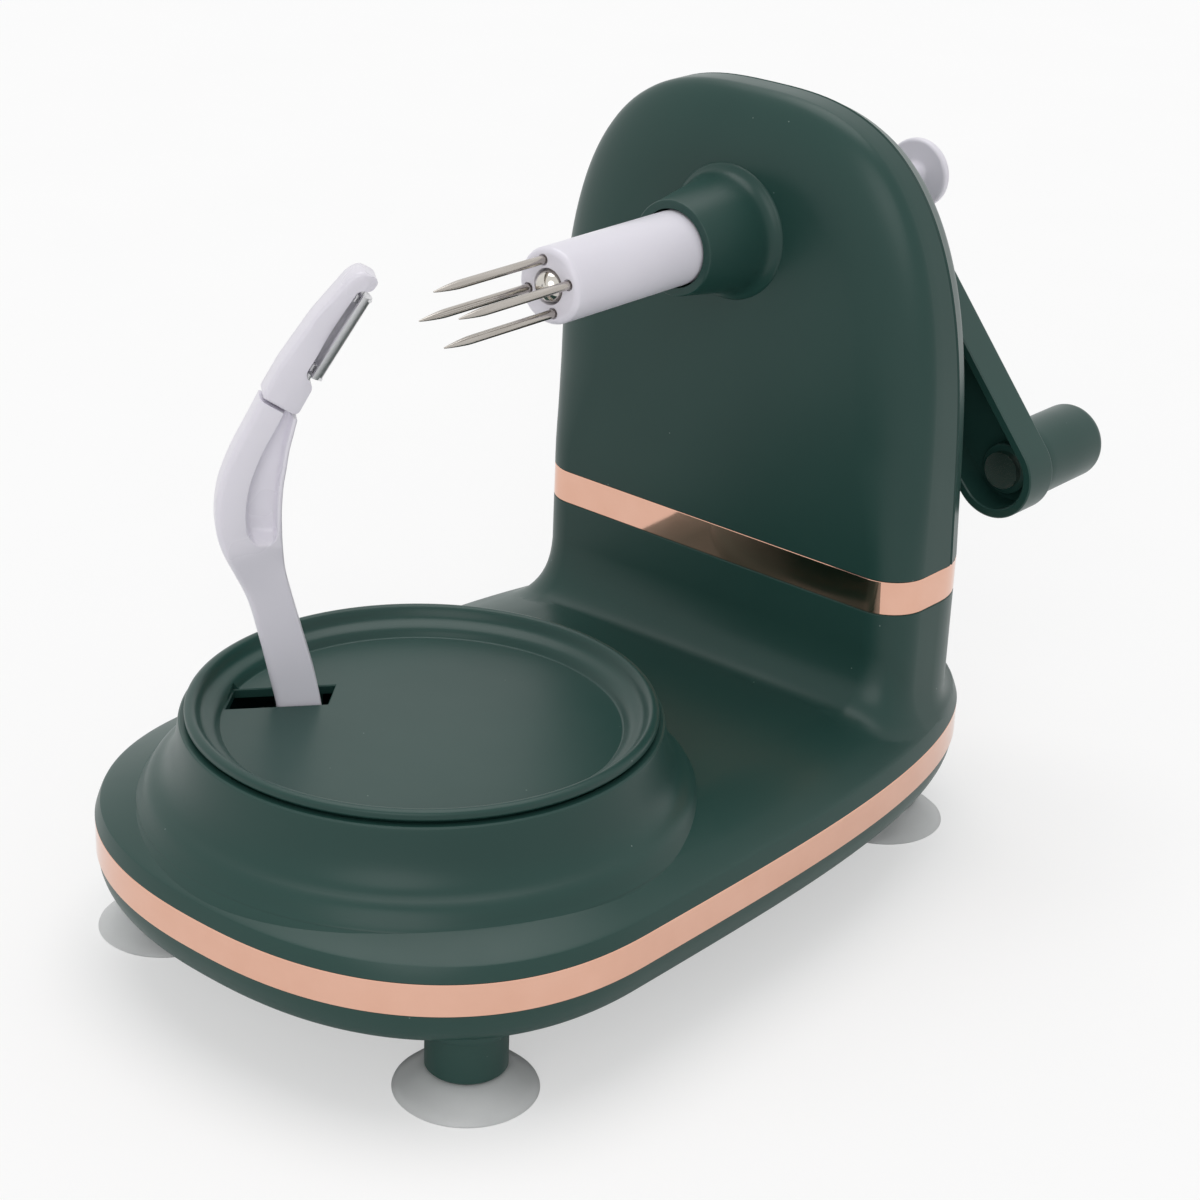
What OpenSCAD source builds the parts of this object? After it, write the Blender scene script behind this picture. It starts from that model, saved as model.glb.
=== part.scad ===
// Hand-cranked apple peeler: suction feet, oval base with a geared turntable,
// tower with crank, four-tine fork and push-rod ejector, sprung arm with a swivel blade.
// Millimetres, +Y from the turntable back to the tower, +Z up. Sizes along Y are measured from the
// turntable axis, and each piece is then moved so that the middle of the whole lies on the origin.

/* [Base outline] */
// Half width of the base at its widest
base_half_w = 67.5; // [62:0.5:74]
// Length of the nose in front of the widest place
base_front_len = 60.5; // [58:0.5:66]
// Length of the tail behind the widest place
base_rear_len = 152; // [146:0.5:160]
// Widest place, measured back from the turntable axis
base_mid_y = -3.4; // [-6:0.1:0]
// Fullness of the nose curve
base_front_exp = 2.32; // [2:0.02:2.8]
// Fullness of the tail curve
base_rear_exp = 3.4; // [3:0.05:3.8]

/* [Base heights] */
// Underside of the tray
tray_low_z = 16.5; // [15:0.5:18]
// Lower edge of the base trim band
band_low_z = 24.9; // [23.5:0.1:26]
// Height of the base trim band
band_h = 7.6; // [6:0.1:9]
// Top face of the base in the middle
base_top_z = 41; // [40:0.5:43]
// Wall of the base mouldings
base_wall = 2.4; // [2:0.1:3]
// Thickness of the trim bands
band_t = 1; // [0.8:0.1:1.4]
// Gap all round a trim band in its seat
band_gap = 0.05; // [0.02:0.01:0.1]

/* [Feet] */
// Radius of a suction cup at the floor
cup_r = 15; // [13:0.5:17]
// Radius of a foot post
post_r = 8.5; // [7.5:0.5:9.5]
// Height of a foot post's lower end
post_low_z = 5.6; // [5:0.1:7]
// Radius of a suction cup's neck
neck_r = 3.6; // [3:0.1:4.5]
// Front feet, in from the base's widest side
front_foot_in = 22.1; // [20.5:0.2:25.5]
// Front feet, back from the nose of the base
front_foot_back = 30.7; // [28:0.2:34]
// Rear feet, in from the base's widest side
rear_foot_in = 30; // [27.5:0.2:33]
// Rear feet, ahead of the tail of the base
rear_foot_ahead = 28.7; // [25.5:0.2:33]

/* [Turntable] */
// Outer radius of the turntable rim
table_r = 50; // [48:0.5:52]
// Top of the turntable rim
table_top_z = 59.5; // [59:0.1:61]
// Depth of the dish below the rim
dish_depth = 5.5; // [4:0.1:6]
// Radius of the flat dish floor
floor_r = 42.5; // [41.5:0.5:44]
// Thickness of the dish floor
floor_t = 2; // [1.6:0.1:2.4]
// Width of the arm slot
slot_w = 9.2; // [9:0.1:10]
// Length of the arm slot
slot_len = 21.8; // [21:0.2:22.6]
// Inner end of the arm slot, along the swing plane
slot_in = 17.8; // [17:0.1:17.9]
// Skew of the slot's ends
slot_skew = 2.6; // [0:0.1:3]
// Set-back of the pedestal's foot from the nose of the base
pedestal_set_back = 3.6; // [3:0.1:5]
// Outer radius of the turntable's post
post_axle_r = 6; // [5:0.5:7]

/* [Tower] */
// Half width of the tower at its band
tower_half_w = 54; // [50:0.5:56]
// Front face of the tower
tower_front_y = 95.5; // [94:0.5:97]
// Rear face of the tower at its band
tower_rear_y = 130; // [128:0.5:132]
// Seam between front shell and rear cover, at the band
seam_y = 115.3; // [114:0.1:117]
// Forward lean of seam and rear face, per millimetre of height
rear_lean = 0.068; // [0.05:0.002:0.075]
// Top of the tower
tower_top_z = 174.2; // [170:0.2:178]
// Height where the rounded top begins
arch_z = 91; // [85:0.5:96]
// Fullness of the rounded top
arch_exp = 2.85; // [2.5:0.05:3.1]
// Rounding of the front edges
front_round = 9.5; // [7:0.5:11]
// Rounding of the rear edges
rear_round = 18; // [14:0.5:19]
// Wall of the tower mouldings
tower_wall = 2.2; // [1.8:0.1:2.6]
// Lower edge of the tower trim band
tower_band_z = 64.1; // [62:0.1:66]
// Height of the tower trim band
tower_band_h = 8.2; // [7:0.1:9]

/* [Drive axis] */
// Height of the fork and crank axis
axis_z = 142.5; // [140:0.5:144]
// Radius of the hollow drive shaft
shaft_r = 4; // [3.8:0.1:4.5]
// Radius of the push rod
rod_r = 2; // [1.8:0.1:2.2]
// Radius of the push button's stem
stem_r = 2.7; // [2.5:0.1:2.9]
// Radial gap of a turning or sliding fit
run_gap = 0.06; // [0.03:0.01:0.09]
// Radius of the fork hub
hub_r = 8.3; // [8:0.1:9]
// Front face of the fork hub
hub_front_y = 35.6; // [34:0.2:37]
// Mouth of the tower's front boss
boss_y = 76; // [74:0.5:78]
// Gap between fork hub and boss
boss_gap = 0.9; // [0.6:0.1:1.2]
// Wall of the boss at its mouth
boss_wall = 2; // [1.6:0.1:2.4]

/* [Fork and ejector] */
// Radius of the circle the tines stand on
tine_circle_r = 5.7; // [5.4:0.1:6]
// Radius of a tine
tine_r = 0.95; // [0.8:0.05:1.1]
// Point of the tines
tine_tip_y = 3; // [0:0.5:6]
// Turn of the fork about its axis at rest
fork_turn = 16; // [0:1:45]
// Radius of the push rod's dome
dome_r = 3.6; // [3.3:0.1:3.9]
// Stroke of the push rod
eject_stroke = 17; // [14:0.5:17.5]
// Radius of the push button
button_r = 8.3; // [7:0.1:9]
// Front face of the push button
button_y = 168; // [167:0.5:170]

/* [Crank] */
// Front rim of the crank arm
crank_y = 137; // [136.5:0.5:138]
// Depth of the crank arm
crank_depth = 10; // [9:0.5:11]
// Distance from the axis to the grip
crank_len = 74; // [70:0.5:76]
// Angle of the crank below level at rest
crank_angle = 48.6; // [40:0.2:60]
// Radius of the crank arm at the axis
crank_hub_r = 13; // [12:0.5:14]
// Radius of the crank arm at the grip
crank_end_r = 10.5; // [10:0.5:11]
// Wall of the crank arm
crank_wall = 2.2; // [1.8:0.1:2.6]
// Radius of the grip
grip_r = 9; // [8.5:0.1:10]
// Length of the grip
grip_len = 24.8; // [23:0.2:28]
// Radius of the grip's pin
pin_r = 3; // [2.6:0.1:3.4]

/* [Gears] */
// Module of the spur gears
gear_m = 1.25; // [1.2:0.01:1.26]
// Face width of the spur gears
gear_w = 4.5; // [4:0.1:4.8]
// Module of the bevel gears
bevel_m = 1; // [0.9:0.05:1.05]
// Play between meshing teeth
backlash = 0.36; // [0.3:0.02:0.5]
// Radius of the vertical shaft
vshaft_r = 2.5; // [2.2:0.1:2.8]
// Radius of the gear axles
axle_r = 2; // [1.8:0.1:2.4]

/* [Peeler arm] */
// Direction of the arm's swing plane
arm_az = 231.7; // [228:0.1:235]
// Distance of the swing plane from the turntable axis
arm_off = 15.4; // [15:0.1:16]
// Thickness of the arm across its swing plane
arm_t = 7.6; // [7:0.1:8]
// Pivot of the arm, outward along the swing plane
pivot_s = 24; // [23:0.2:25]
// Pivot of the arm, height
pivot_z = 45; // [44.6:0.1:45.5]
// Radius of the arm's pivot pin
arm_pin_r = 1.5; // [1.3:0.1:1.8]
// Outward place of the arm's belly
belly_s = 35.3; // [34:0.1:36]
// Half width of the arm's belly
belly_w = 6.9; // [6:0.1:7.5]
// Outward place of the joint with the blade holder
joint_s = 28.3; // [27.5:0.1:29]
// Height of the joint with the blade holder
joint_z = 120.8; // [119:0.2:122]
// Lean of the blade holder from upright
head_lean = 31.5; // [29:0.5:34]
// Length of the blade holder
head_len = 33.5; // [32:0.5:35]
// Length of the blade
blade_len = 20; // [18:0.5:21]

/* [Screws] */
// Radius of a screw's shank
screw_r = 1.5; // [1.3:0.1:1.7]
// Radius of a screw's head
screw_head_r = 2.9; // [2.6:0.1:3.2]

/* [Hidden] */
$fn = 40;
band_high_z = band_low_z + band_h;
tower_band_top = tower_band_z + tower_band_h;
tray_floor_z = tray_low_z + 2.2;
ceiling_z = base_top_z - base_wall;
floor_z = table_top_z - dish_depth;
under_z = floor_z - floor_t;
lip_z = table_top_z - 2.9;
gear_1_z = tray_floor_z + 2.8;
gear_2_z = gear_1_z + gear_w + 1;
gear_3_z = gear_2_z + gear_w + 1;
teeth_v = 16;
teeth_a = 32;
teeth_a2 = 14;
teeth_b = 34;
teeth_b2 = 12;
teeth_t = 66;
axle_b_y = gear_m * (teeth_b2 + teeth_t) / 2;
axle_a_y = axle_b_y + gear_m * (teeth_a2 + teeth_b) / 2;
vert_y = axle_a_y + gear_m * (teeth_v + teeth_a) / 2;
bevel_teeth = 18;
bevel_r = bevel_m * bevel_teeth / 2;
bevel_face = 3;
boss_bore_r = hub_r + boss_gap;
boss_r = boss_bore_r + boss_wall;
bush_y = tower_front_y - 8.5;
bush_len = 11.4;
rear_boss_y = crank_y - 2.4;
rear_bush_y = vert_y + bevel_r + 3.9;
rear_bush_r = shaft_r + 3;
hub_rear_y = bush_y - 1;
hub_bore_y = hub_front_y + 8.4;
shaft_front_y = hub_rear_y - 16;
crank_back_y = crank_y + crank_depth;
shaft_rear_y = crank_back_y - 1;
stem_front_y = shaft_rear_y - 0.4;
stem_bore_y = stem_front_y - eject_stroke - 1;
grip_y = crank_back_y + 0.6;
pin_head_y = crank_back_y - 6.4;
pin_end_y = grip_y + grip_len - 7;
grip_x = crank_len * cos(crank_angle);
grip_z = axis_z - crank_len * sin(crank_angle);
front_foot_x = base_half_w - front_foot_in;
front_foot_y = base_mid_y - base_front_len + front_foot_back;
rear_foot_x = base_half_w - rear_foot_in;
rear_foot_y = base_mid_y + base_rear_len - rear_foot_ahead;
pedestal_r = table_r + 1.3;
pedestal_spread = base_front_len - base_mid_y - pedestal_set_back - pedestal_r;
feet = [[-front_foot_x, front_foot_y], [front_foot_x, front_foot_y],
  [-rear_foot_x, rear_foot_y], [rear_foot_x, rear_foot_y]];
base_screw_at = [for (p = [[21.5, 15], [27.5, 84]]) for (s = [-1, 1]) [s * (base_half_w - p[0]), p[1]]];
tower_screw_at = [[-32, 84], [32, 84], [-24, 150], [24, 150]];
bracket_z = axis_z - bevel_r - 14;
bracket_y = tower_front_y + tower_wall + 3.6;
flange_z = under_z - 6;
lug_gap = 0.4;
spring_room = 2.8;
mid_y = (grip_y + grip_len + base_mid_y - base_front_len) / 2;
flare_w = 8.4;
pedestal_steps = [[1, -6], [0.989, -2.2], [0.911, -1.4], [0.822, 0], [0.733, 1.3], [0.611, 2.1],
  [0.478, 2.7], [0.344, 4], [0.222, 6.1], [0.122, 8.9], [0.044, 12]];
shoulder = [[0, band_gap], [0.9, 1.5], [2.5, 2.9], [5, 4.5], [9, 6.3],
[15, base_top_z - band_high_z - 0.9],
  [23, base_top_z - band_high_z]];

// Point of a superellipse quarter: exponent e, angle a
function se(c, e) = sign(c) * pow(abs(c), 2 / e);

// Base outline, moved in by d
function base_pts(d, n = 64) = [for (i = [0:n - 1]) let (a = 360 * i / n, s = sin(a),
  e = s < 0 ? base_front_exp : base_rear_exp, b = s < 0 ? base_front_len : base_rear_len)
  [(base_half_w - d) * se(cos(a), e), base_mid_y + (b - d) * se(s, e)]];

// Plan of the tower with front and rear roundings, moved in by d
function arc_pts(x, y, r, a0, n) = [for (i = [0:n]) let (a = a0 + 90 * i / n) [x + r * cos(a),
  y + r * sin(a)]];
function tower_plan(d, n = 7) = let (w = tower_half_w - d, f = tower_front_y + d, b = tower_rear_y - d,
  rf = max(front_round - d, 0.5), rr = max(rear_round - d, 0.5))
  concat(arc_pts(w - rr, b - rr, rr, 0, n), arc_pts(rr - w, b - rr, rr, 90, n),
    arc_pts(rf - w, f + rf, rf, 180, n), arc_pts(w - rf, f + rf, rf, 270, n));

// Front view of the tower above its band, moved in by d
function arch_pts(d, n = 36) = let (w = tower_half_w - d, h = tower_top_z - d - arch_z)
  concat([[-w, tower_band_top]], [for (i = [0:n]) let (a = 180 - 180 * i / n)
  [w * se(cos(a), arch_exp), arch_z + h * se(abs(sin(a)), arch_exp)]], [[w, tower_band_top]]);
function lean(z) = rear_lean * (z - tower_band_top);
function tower_ring(d, y, l) = [for (p = arch_pts(d)) [p[0], y - l * lean(p[1]), p[1]]];
function flat_ring(pts, z) = [for (p = pts) [p[0], p[1], z]];

// How far a point lies inside the base outline, and the height of the base's shoulder there
function in_base(p, d) = let (front = p[1] < base_mid_y, e = front ? base_front_exp : base_rear_exp,
  b = front ? base_front_len : base_rear_len)
  pow(abs(p[0]) / (base_half_w - d), e) + pow(abs(p[1] - base_mid_y) / (b - d), e) < 1;
function inset(p, lo = 0, hi = 60, n = 14) = let (m = (lo + hi) / 2)
  n == 0 ? lo : in_base(p, m) ? inset(p, m, hi, n - 1) : inset(p, lo, m, n - 1);
function top_at(p) = band_high_z + lookup(inset(p), shoulder);

// Ring of the fillet between tower and base: o outward and h up, both shrunk where the base is narrow
function flare_ring(o, h) = let (plan = tower_plan(0), out = tower_plan(-1)) [for (i = [0:len(plan) - 1])
  let (k = min(1, 0.8 * inset(plan[i]) / flare_w), q = plan[i] + (out[i] - plan[i]) * o * k)
  [q[0], q[1], top_at(q) + h * k]];

// Solid through a list of rings with equal point counts
module loft(rings) {
  k = len(rings[0]);
  m = len(rings);
  polyhedron(points = [for (r = rings) for (p = r) p],
    faces = concat([[for (i = [0:k - 1]) i]], [[for (i = [k - 1:-1:0]) (m - 1) * k + i]],
      [for (j = [0:m - 2]) for (i = [0:k - 1]) let (a = j * k, b = (j + 1) * k, n = (i + 1) % k)
        [a + i, b + i, b + n, a + n]]),
    convexity = 6);
}

// Frames: the whole part, the drive axis, the arm's swing plane and the blade holder
module placed() {
  translate([0, -mid_y, 0])
    children();
}
module on_axis(y) {
  translate([0, y, axis_z])
    rotate([-90, 0, 0])
      children();
}
module in_swing(t) {
  rotate([90, 0, arm_az])
    translate([0, 0, arm_off - t / 2])
      children();
}
module at_head() {
  translate([joint_s, joint_z, 0])
    rotate([0, 0, head_lean])
      children();
}

// Tube along the drive axis
module axis_tube(y0, y1, r, bore) {
  on_axis(y0)
    difference() {
      cylinder(h = y1 - y0, r = r);
      translate([0, 0, -1])
        cylinder(h = y1 - y0 + 2, r = bore);
    }
}

// Involute tooth outline of a spur gear, a tooth on +X
function inv(a) = tan(a) * 180 / PI - a;
function tooth_half(rho, r, t) = let (rb = r * cos(20), q = max(rho, rb))
  t / r * 90 / PI + inv(20) - inv(acos(min(rb / q, 1)));
function gear_pts(n, m, play) = let (r = m * n / 2, t = PI * m / 2 - play, ra = r + m * 0.95,
  rr = r - m * 1.2,
  rs = max(rr + 0.05, r * cos(20)), steps = [rr, rs, r - m * 0.2, r + m * 0.45, ra])
  [for (i = [0:n - 1]) for (s = [-1, 1]) for (k = [0:4]) let (rho = steps[s < 0 ? k : 4 - k],
  a = 360 * i / n + s * tooth_half(max(rho, rs), r, t)) [rho * cos(a), rho * sin(a)]];
module spur(n, turn, w, bore) {
  difference() {
    rotate([0, 0, turn])
      linear_extrude(height = w)
        polygon(gear_pts(n, gear_m, backlash));
    translate([0, 0, -1])
      cylinder(h = w + 2, r = bore);
  }
}

// Straight bevel tooth ring for a right-angle pair of equal gears, large end at z = 0
function bevel_pts(play) = let (c = cos(45), rv = bevel_r / c, dist = bevel_r / sin(45),
  t = PI * bevel_m / 2 - play, ra = rv + bevel_m * 0.85, rr = rv - bevel_m * 1.15,
  rs = max(rr + 0.05, rv * cos(20)), steps = [rr, rs, rv, ra])
  [for (i = [0:bevel_teeth - 1]) for (s = [-1, 1]) for (k = [0:3]) let (rho = steps[s < 0 ? k : 3 - k],
  a = 360 * i / bevel_teeth + s * tooth_half(max(rho, rs), rv, t) / c,
  q = bevel_r * tan(45 + atan((rho - rv) / dist))) [q * cos(a), q * sin(a)]];
module bevel(turn, bore, hub_r, hub_h) {
  difference() {
    union() {
      rotate([0, 0, turn])
        linear_extrude(height = bevel_face, scale = (bevel_r - bevel_face) / bevel_r)
          polygon(bevel_pts(backlash));
      translate([0, 0, -hub_h])
        cylinder(h = hub_h + 0.01, r = hub_r);
    }
    translate([0, 0, -hub_h - 1])
      cylinder(h = hub_h + bevel_face + 2, r = bore);
  }
}

// Round wire coil along +Z
module coil(r, wire, h, turns) {
  k = 18;
  rings = [for (i = [0:turns * k]) let (a = 360 * i / k, z = wire + (h - 2 * wire) * i / (turns * k))
    [for (j = [0:5]) let (b = -60 * j, q = r + wire * cos(b)) [q * cos(a), q * sin(a),
      z + wire * sin(b)]]];
  loft(rings);
}

// Pan-head screw along +Z, head below z = 0
module screw(length, head_h) {
  translate([0, 0, -head_h])
    cylinder(h = head_h, r = screw_head_r);
  cylinder(h = length, r = screw_r);
}

// Green tray that closes the base from below, with the foot posts and bearing bosses
module bottom_tray() {
  color("#2c4643")
    placed()
      difference() {
        union() {
          loft([flat_ring(base_pts(6.4), tray_low_z), flat_ring(base_pts(3.6), tray_low_z + 0.9),
            flat_ring(base_pts(1.7), tray_low_z + 2.6), flat_ring(base_pts(0.7), tray_low_z + 5),
            flat_ring(base_pts(0.3), band_low_z)]);
          for (p = feet)
            translate([p[0], p[1], post_low_z])
              cylinder(h = tray_floor_z - post_low_z, r = post_r);
        }
        difference() {
          translate([0, 0, tray_floor_z])
            linear_extrude(height = 20)
              polygon(base_pts(base_wall + 2));
          for (p = base_screw_at)
            translate([p[0], p[1], 0])
              cylinder(h = gear_1_z, r = 4.5);
          cylinder(h = 26, r = 9.5);
          cylinder(h = flange_z, r = post_axle_r);
          for (y = [axle_b_y, axle_a_y, vert_y])
            translate([0, y, 0])
              cylinder(h = gear_1_z - 0.4, r = 5);
        }
        for (p = feet)
          translate([p[0], p[1], post_low_z - 1])
            cylinder(h = 9, r = neck_r);
        for (p = base_screw_at)
          translate([p[0], p[1], tray_low_z - 1])
            cylinder(h = 20, r = screw_r + 0.1);
        for (p = base_screw_at)
          translate([p[0], p[1], tray_low_z - 1])
            cylinder(h = 3, r = screw_head_r + 0.2);
        translate([0, 0, tray_low_z - 1])
          cylinder(h = flange_z, r = vshaft_r + run_gap);
        translate([0, 0, tray_low_z - 1])
          cylinder(h = 5.6, r = 7);
        translate([0, 0, flange_z - 0.6])
          cylinder(h = 20, r = 20);
        for (y = [axle_b_y, axle_a_y])
          translate([0, y, tray_low_z + 0.7])
            cylinder(h = 20, r = axle_r);
        translate([0, vert_y, tray_low_z + 0.7])
          cylinder(h = 20, r = vshaft_r + run_gap);
      }
}

// Clear suction cup with a neck pressed up into its post
module cup(p) {
  color("#a9aaaa", 0.6)
    placed()
      translate([p[0], p[1], 0])
        rotate_extrude($fn = 36)
          polygon([[0, 2.6], [6, 2.4], [11, 1.2], [cup_r - 0.9, 0], [cup_r, 0], [cup_r, 0.6],
            [cup_r - 1.6, 2],
            [cup_r - 4.2, 3.9], [post_r, post_low_z - 0.2], [neck_r, post_low_z - 0.1],
            [neck_r, post_low_z + 6],
            [neck_r - 1, post_low_z + 7], [0, post_low_z + 7]]);
}
module cup_front_left() {
  cup(feet[0]);
}
module cup_front_right() {
  cup(feet[1]);
}
module cup_rear_left() {
  cup(feet[2]);
}
module cup_rear_right() {
  cup(feet[3]);
}

// Upper moulding: oval base, round pedestal and the flared foot of the tower
module base_shell() {
  seat = band_t + band_gap;
  color("#2c4643")
    placed()
      difference() {
        union() {
          translate([0, 0, band_low_z + band_gap])
            linear_extrude(height = band_h + 1)
              polygon(base_pts(seat));
          loft([for (k = shoulder) flat_ring(base_pts(k[0]), band_high_z + k[1])]);
          rotate_extrude($fn = 72)
            polygon(concat([[table_r - 10, ceiling_z]], [for (p = pedestal_steps)
              [pedestal_r + pedestal_spread * p[0], base_top_z + p[1]]],
              [[pedestal_r, lip_z - 0.5], [pedestal_r - 0.5, lip_z], [table_r - 10, lip_z]]));
          loft([flat_ring(tower_plan(0.5), band_high_z - 2), flare_ring(flare_w, -0.6),
            flare_ring(5.2, 1.5),
            flare_ring(2.9, 3.6), flare_ring(1.3, 6.4), flare_ring(0.4, 10), flare_ring(0, 14),
            flat_ring(tower_plan(0), tower_band_z)]);
          translate([0, 0, tower_band_z - 1])
            linear_extrude(height = tower_band_h + 1)
              polygon(tower_plan(seat));
          translate([0, 0, tower_band_z - 1])
            linear_extrude(height = tower_band_h + 4)
              polygon(tower_plan(tower_wall + 1));
        }
        difference() {
          translate([0, 0, 10])
            linear_extrude(height = ceiling_z - 10 - 2.6)
              polygon(base_pts(base_wall + 1.2));
          for (p = base_screw_at)
            translate([p[0], p[1], gear_1_z])
              cylinder(h = 30, r = 4.5);
        }
        difference() {
          translate([0, 0, 30])
            linear_extrude(height = ceiling_z - 30)
              polygon(base_pts(18));
          translate([0, axle_a_y, gear_2_z + gear_w + 0.6])
            cylinder(h = 30, r = 4.5);
          for (p = base_screw_at)
            translate([p[0], p[1], gear_1_z])
              cylinder(h = 30, r = 4.5);
        }
        linear_extrude(height = 100)
          polygon(tower_plan(tower_wall + 2.4));
        translate([0, 0, ceiling_z - 1])
          cylinder(h = 40, r = table_r - 8, $fn = 72);
        translate([0, 0, base_top_z])
          cylinder(h = 40, r = table_r - 0.8, $fn = 72);
        for (y = [axle_b_y, axle_a_y])
          translate([0, y, 20])
            cylinder(h = base_top_z - 20.8, r = axle_r);
        for (p = base_screw_at)
          translate([p[0], p[1], 10])
            cylinder(h = gear_1_z + 1, r = screw_r);
      }
}

// Plated trim ring round the base
module base_band() {
  color("#d9a68f")
    placed()
      difference() {
        translate([0, 0, band_low_z + band_gap])
          linear_extrude(height = band_h - band_gap)
            polygon(base_pts(0));
        translate([0, 0, band_low_z - 1])
          linear_extrude(height = band_h + 2)
            polygon(base_pts(band_t));
      }
}

// Four screws from below the tray into the base shell
module base_screws() {
  color("#9a9da0")
    placed()
      for (p = base_screw_at)
        translate([p[0], p[1], tray_low_z + 2])
          screw(11, 1.8);
}

// Plated trim ring round the foot of the tower
module tower_band() {
  color("#d9a68f")
    placed()
      difference() {
        translate([0, 0, tower_band_z])
          linear_extrude(height = tower_band_h)
            polygon(tower_plan(0));
        translate([0, 0, tower_band_z - 1])
          linear_extrude(height = tower_band_h + 2)
            polygon(tower_plan(band_t));
      }
}

// Front half of the tower with the flared boss for the fork hub
module tower_front_shell() {
  f = tower_front_y;
  r = front_round;
  w = tower_wall;
  color("#2c4643")
    placed()
      difference() {
        union() {
          difference() {
            loft([tower_ring(r, f, 0), tower_ring(r * 0.56, f + r * 0.1, 0),
              tower_ring(r * 0.293, f + r * 0.293, 0),
              tower_ring(r * 0.1, f + r * 0.56, 0), tower_ring(0, f + r, 0.3), tower_ring(0, seam_y, 1)]);
            translate([0, 0, -0.01])
              loft([tower_ring(r, f + w, 0), tower_ring(r * 0.56 + w * 0.6, f + w + r * 0.06, 0),
                tower_ring(w + r * 0.1, f + w + r * 0.4, 0), tower_ring(w, f + r, 0.3),
                tower_ring(w, seam_y + 1, 1)]);
          }
          on_axis(boss_y)
            rotate_extrude($fn = 48)
              polygon([[boss_bore_r - 1, 0], [boss_r - 0.4, 0], [boss_r, 0.5],
                [boss_r + 1.3, f - boss_y - 6],
                [boss_r + 2, f - boss_y - 3.4], [boss_r + 3.3, f - boss_y - 2],
                [boss_r + 4.6, f - boss_y - 1],
                [boss_r + 5, f - boss_y + w], [boss_bore_r - 1, f - boss_y + w + 1]]);
          for (p = tower_screw_at)
            translate([p[0], f + w - 0.5, p[1]])
              rotate([-90, 0, 0])
                cylinder(h = seam_y - lean(p[1]) - f - w - 1, r = 3.6);
          for (x = [-16, 16])
            translate([x, f + w - 0.5, bracket_z + 4])
              rotate([-90, 0, 0])
                cylinder(h = bracket_y - f - w + 0.5, r = 3.2);
        }
        on_axis(boss_y - 1)
          cylinder(h = 40, r = boss_bore_r);
        for (p = tower_screw_at)
          translate([p[0], f + w + 1, p[1]])
            rotate([-90, 0, 0])
              cylinder(h = 40, r = screw_r);
        for (x = [-16, 16])
          translate([x, f + w, bracket_z + 4])
            rotate([-90, 0, 0])
              cylinder(h = 40, r = screw_r);
      }
}

// Rear cover of the tower with the boss for the rear bush
module tower_rear_cover() {
  b = tower_rear_y;
  r = rear_round;
  w = tower_wall;
  color("#2c4643")
    placed()
      difference() {
        union() {
          difference() {
            loft([tower_ring(0, seam_y + 0.02, 1), tower_ring(r * 0.03, b - r * 0.72, 1),
              tower_ring(r * 0.12, b - r * 0.5, 1),
              tower_ring(r * 0.293, b - r * 0.293, 1), tower_ring(r * 0.56, b - r * 0.1, 1),
              tower_ring(r, b, 1)]);
            translate([0, 0, -0.01])
              loft([tower_ring(w, seam_y - 1, 1), tower_ring(r * 0.03 + w, b - r * 0.72, 1),
                tower_ring(r * 0.12 + w * 0.9, b - r * 0.5 - w * 0.3, 1),
                tower_ring(r * 0.56 + w * 0.6, b - r * 0.1 - w, 1),
                tower_ring(r, b - w, 1)]);
          }
          axis_tube(rear_bush_y, rear_boss_y, rear_bush_r + 3.5, rear_bush_r - 1);
          for (p = tower_screw_at)
            translate([p[0], seam_y - lean(p[1]) - 0.9, p[1]])
              rotate([-90, 0, 0])
                cylinder(h = b - seam_y, r = 4.4);
        }
        on_axis(rear_bush_y - 1)
          cylinder(h = 40, r = rear_bush_r);
        for (p = tower_screw_at)
          translate([p[0], seam_y - lean(p[1]) - 8, p[1]])
            rotate([-90, 0, 0])
              cylinder(h = 40, r = screw_r + 0.1);
        for (p = tower_screw_at)
          translate([p[0], b - lean(p[1]) - 6, p[1]])
            rotate([-90, 0, 0])
              cylinder(h = 20, r = screw_head_r + 0.2);
      }
}

// Four screws that hold the rear cover
module tower_screws() {
  color("#9a9da0")
    placed()
      for (p = tower_screw_at)
        translate([p[0], tower_rear_y - lean(p[1]) - 6, p[1]])
          rotate([90, 0, 0])
            screw(15, 1.8);
}

// Bracket in the tower that holds the upper end of the vertical shaft
module upper_bracket() {
  color("#d8d9dc")
    placed()
      difference() {
        union() {
          translate([-20, bracket_y, bracket_z])
            cube([40, 2.4, 8]);
          translate([-9, bracket_y, bracket_z])
            cube([18, vert_y - bracket_y + 5, 3]);
          translate([0, vert_y, bracket_z])
            cylinder(h = 8, r = 5.5);
        }
        translate([0, vert_y, bracket_z - 1])
          cylinder(h = 20, r = vshaft_r + run_gap);
        for (x = [-16, 16])
          translate([x, bracket_y - 1, bracket_z + 4])
            rotate([-90, 0, 0])
              cylinder(h = 10, r = screw_r + 0.1);
      }
}
module bracket_screws() {
  color("#9a9da0")
    placed()
      for (x = [-16, 16])
        translate([x, bracket_y + 2.4, bracket_z + 4])
          rotate([90, 0, 0])
            screw(5, 1.6);
}

// Plain bushes for the drive shaft
module front_bush() {
  color("#d8d9dc")
    placed()
      axis_tube(bush_y, bush_y + bush_len, boss_bore_r, shaft_r + run_gap);
}
module rear_bush() {
  color("#d8d9dc")
    placed()
      axis_tube(rear_bush_y, rear_boss_y, rear_bush_r, shaft_r + run_gap);
}

// Two steel axles for the reduction gears
module gear_axles() {
  color("#b4b7bb")
    placed()
      for (y = [axle_b_y, axle_a_y])
        translate([0, y, tray_low_z + 0.7])
          cylinder(h = ceiling_z + 1.4 - tray_low_z - 0.7, r = axle_r);
}

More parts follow.
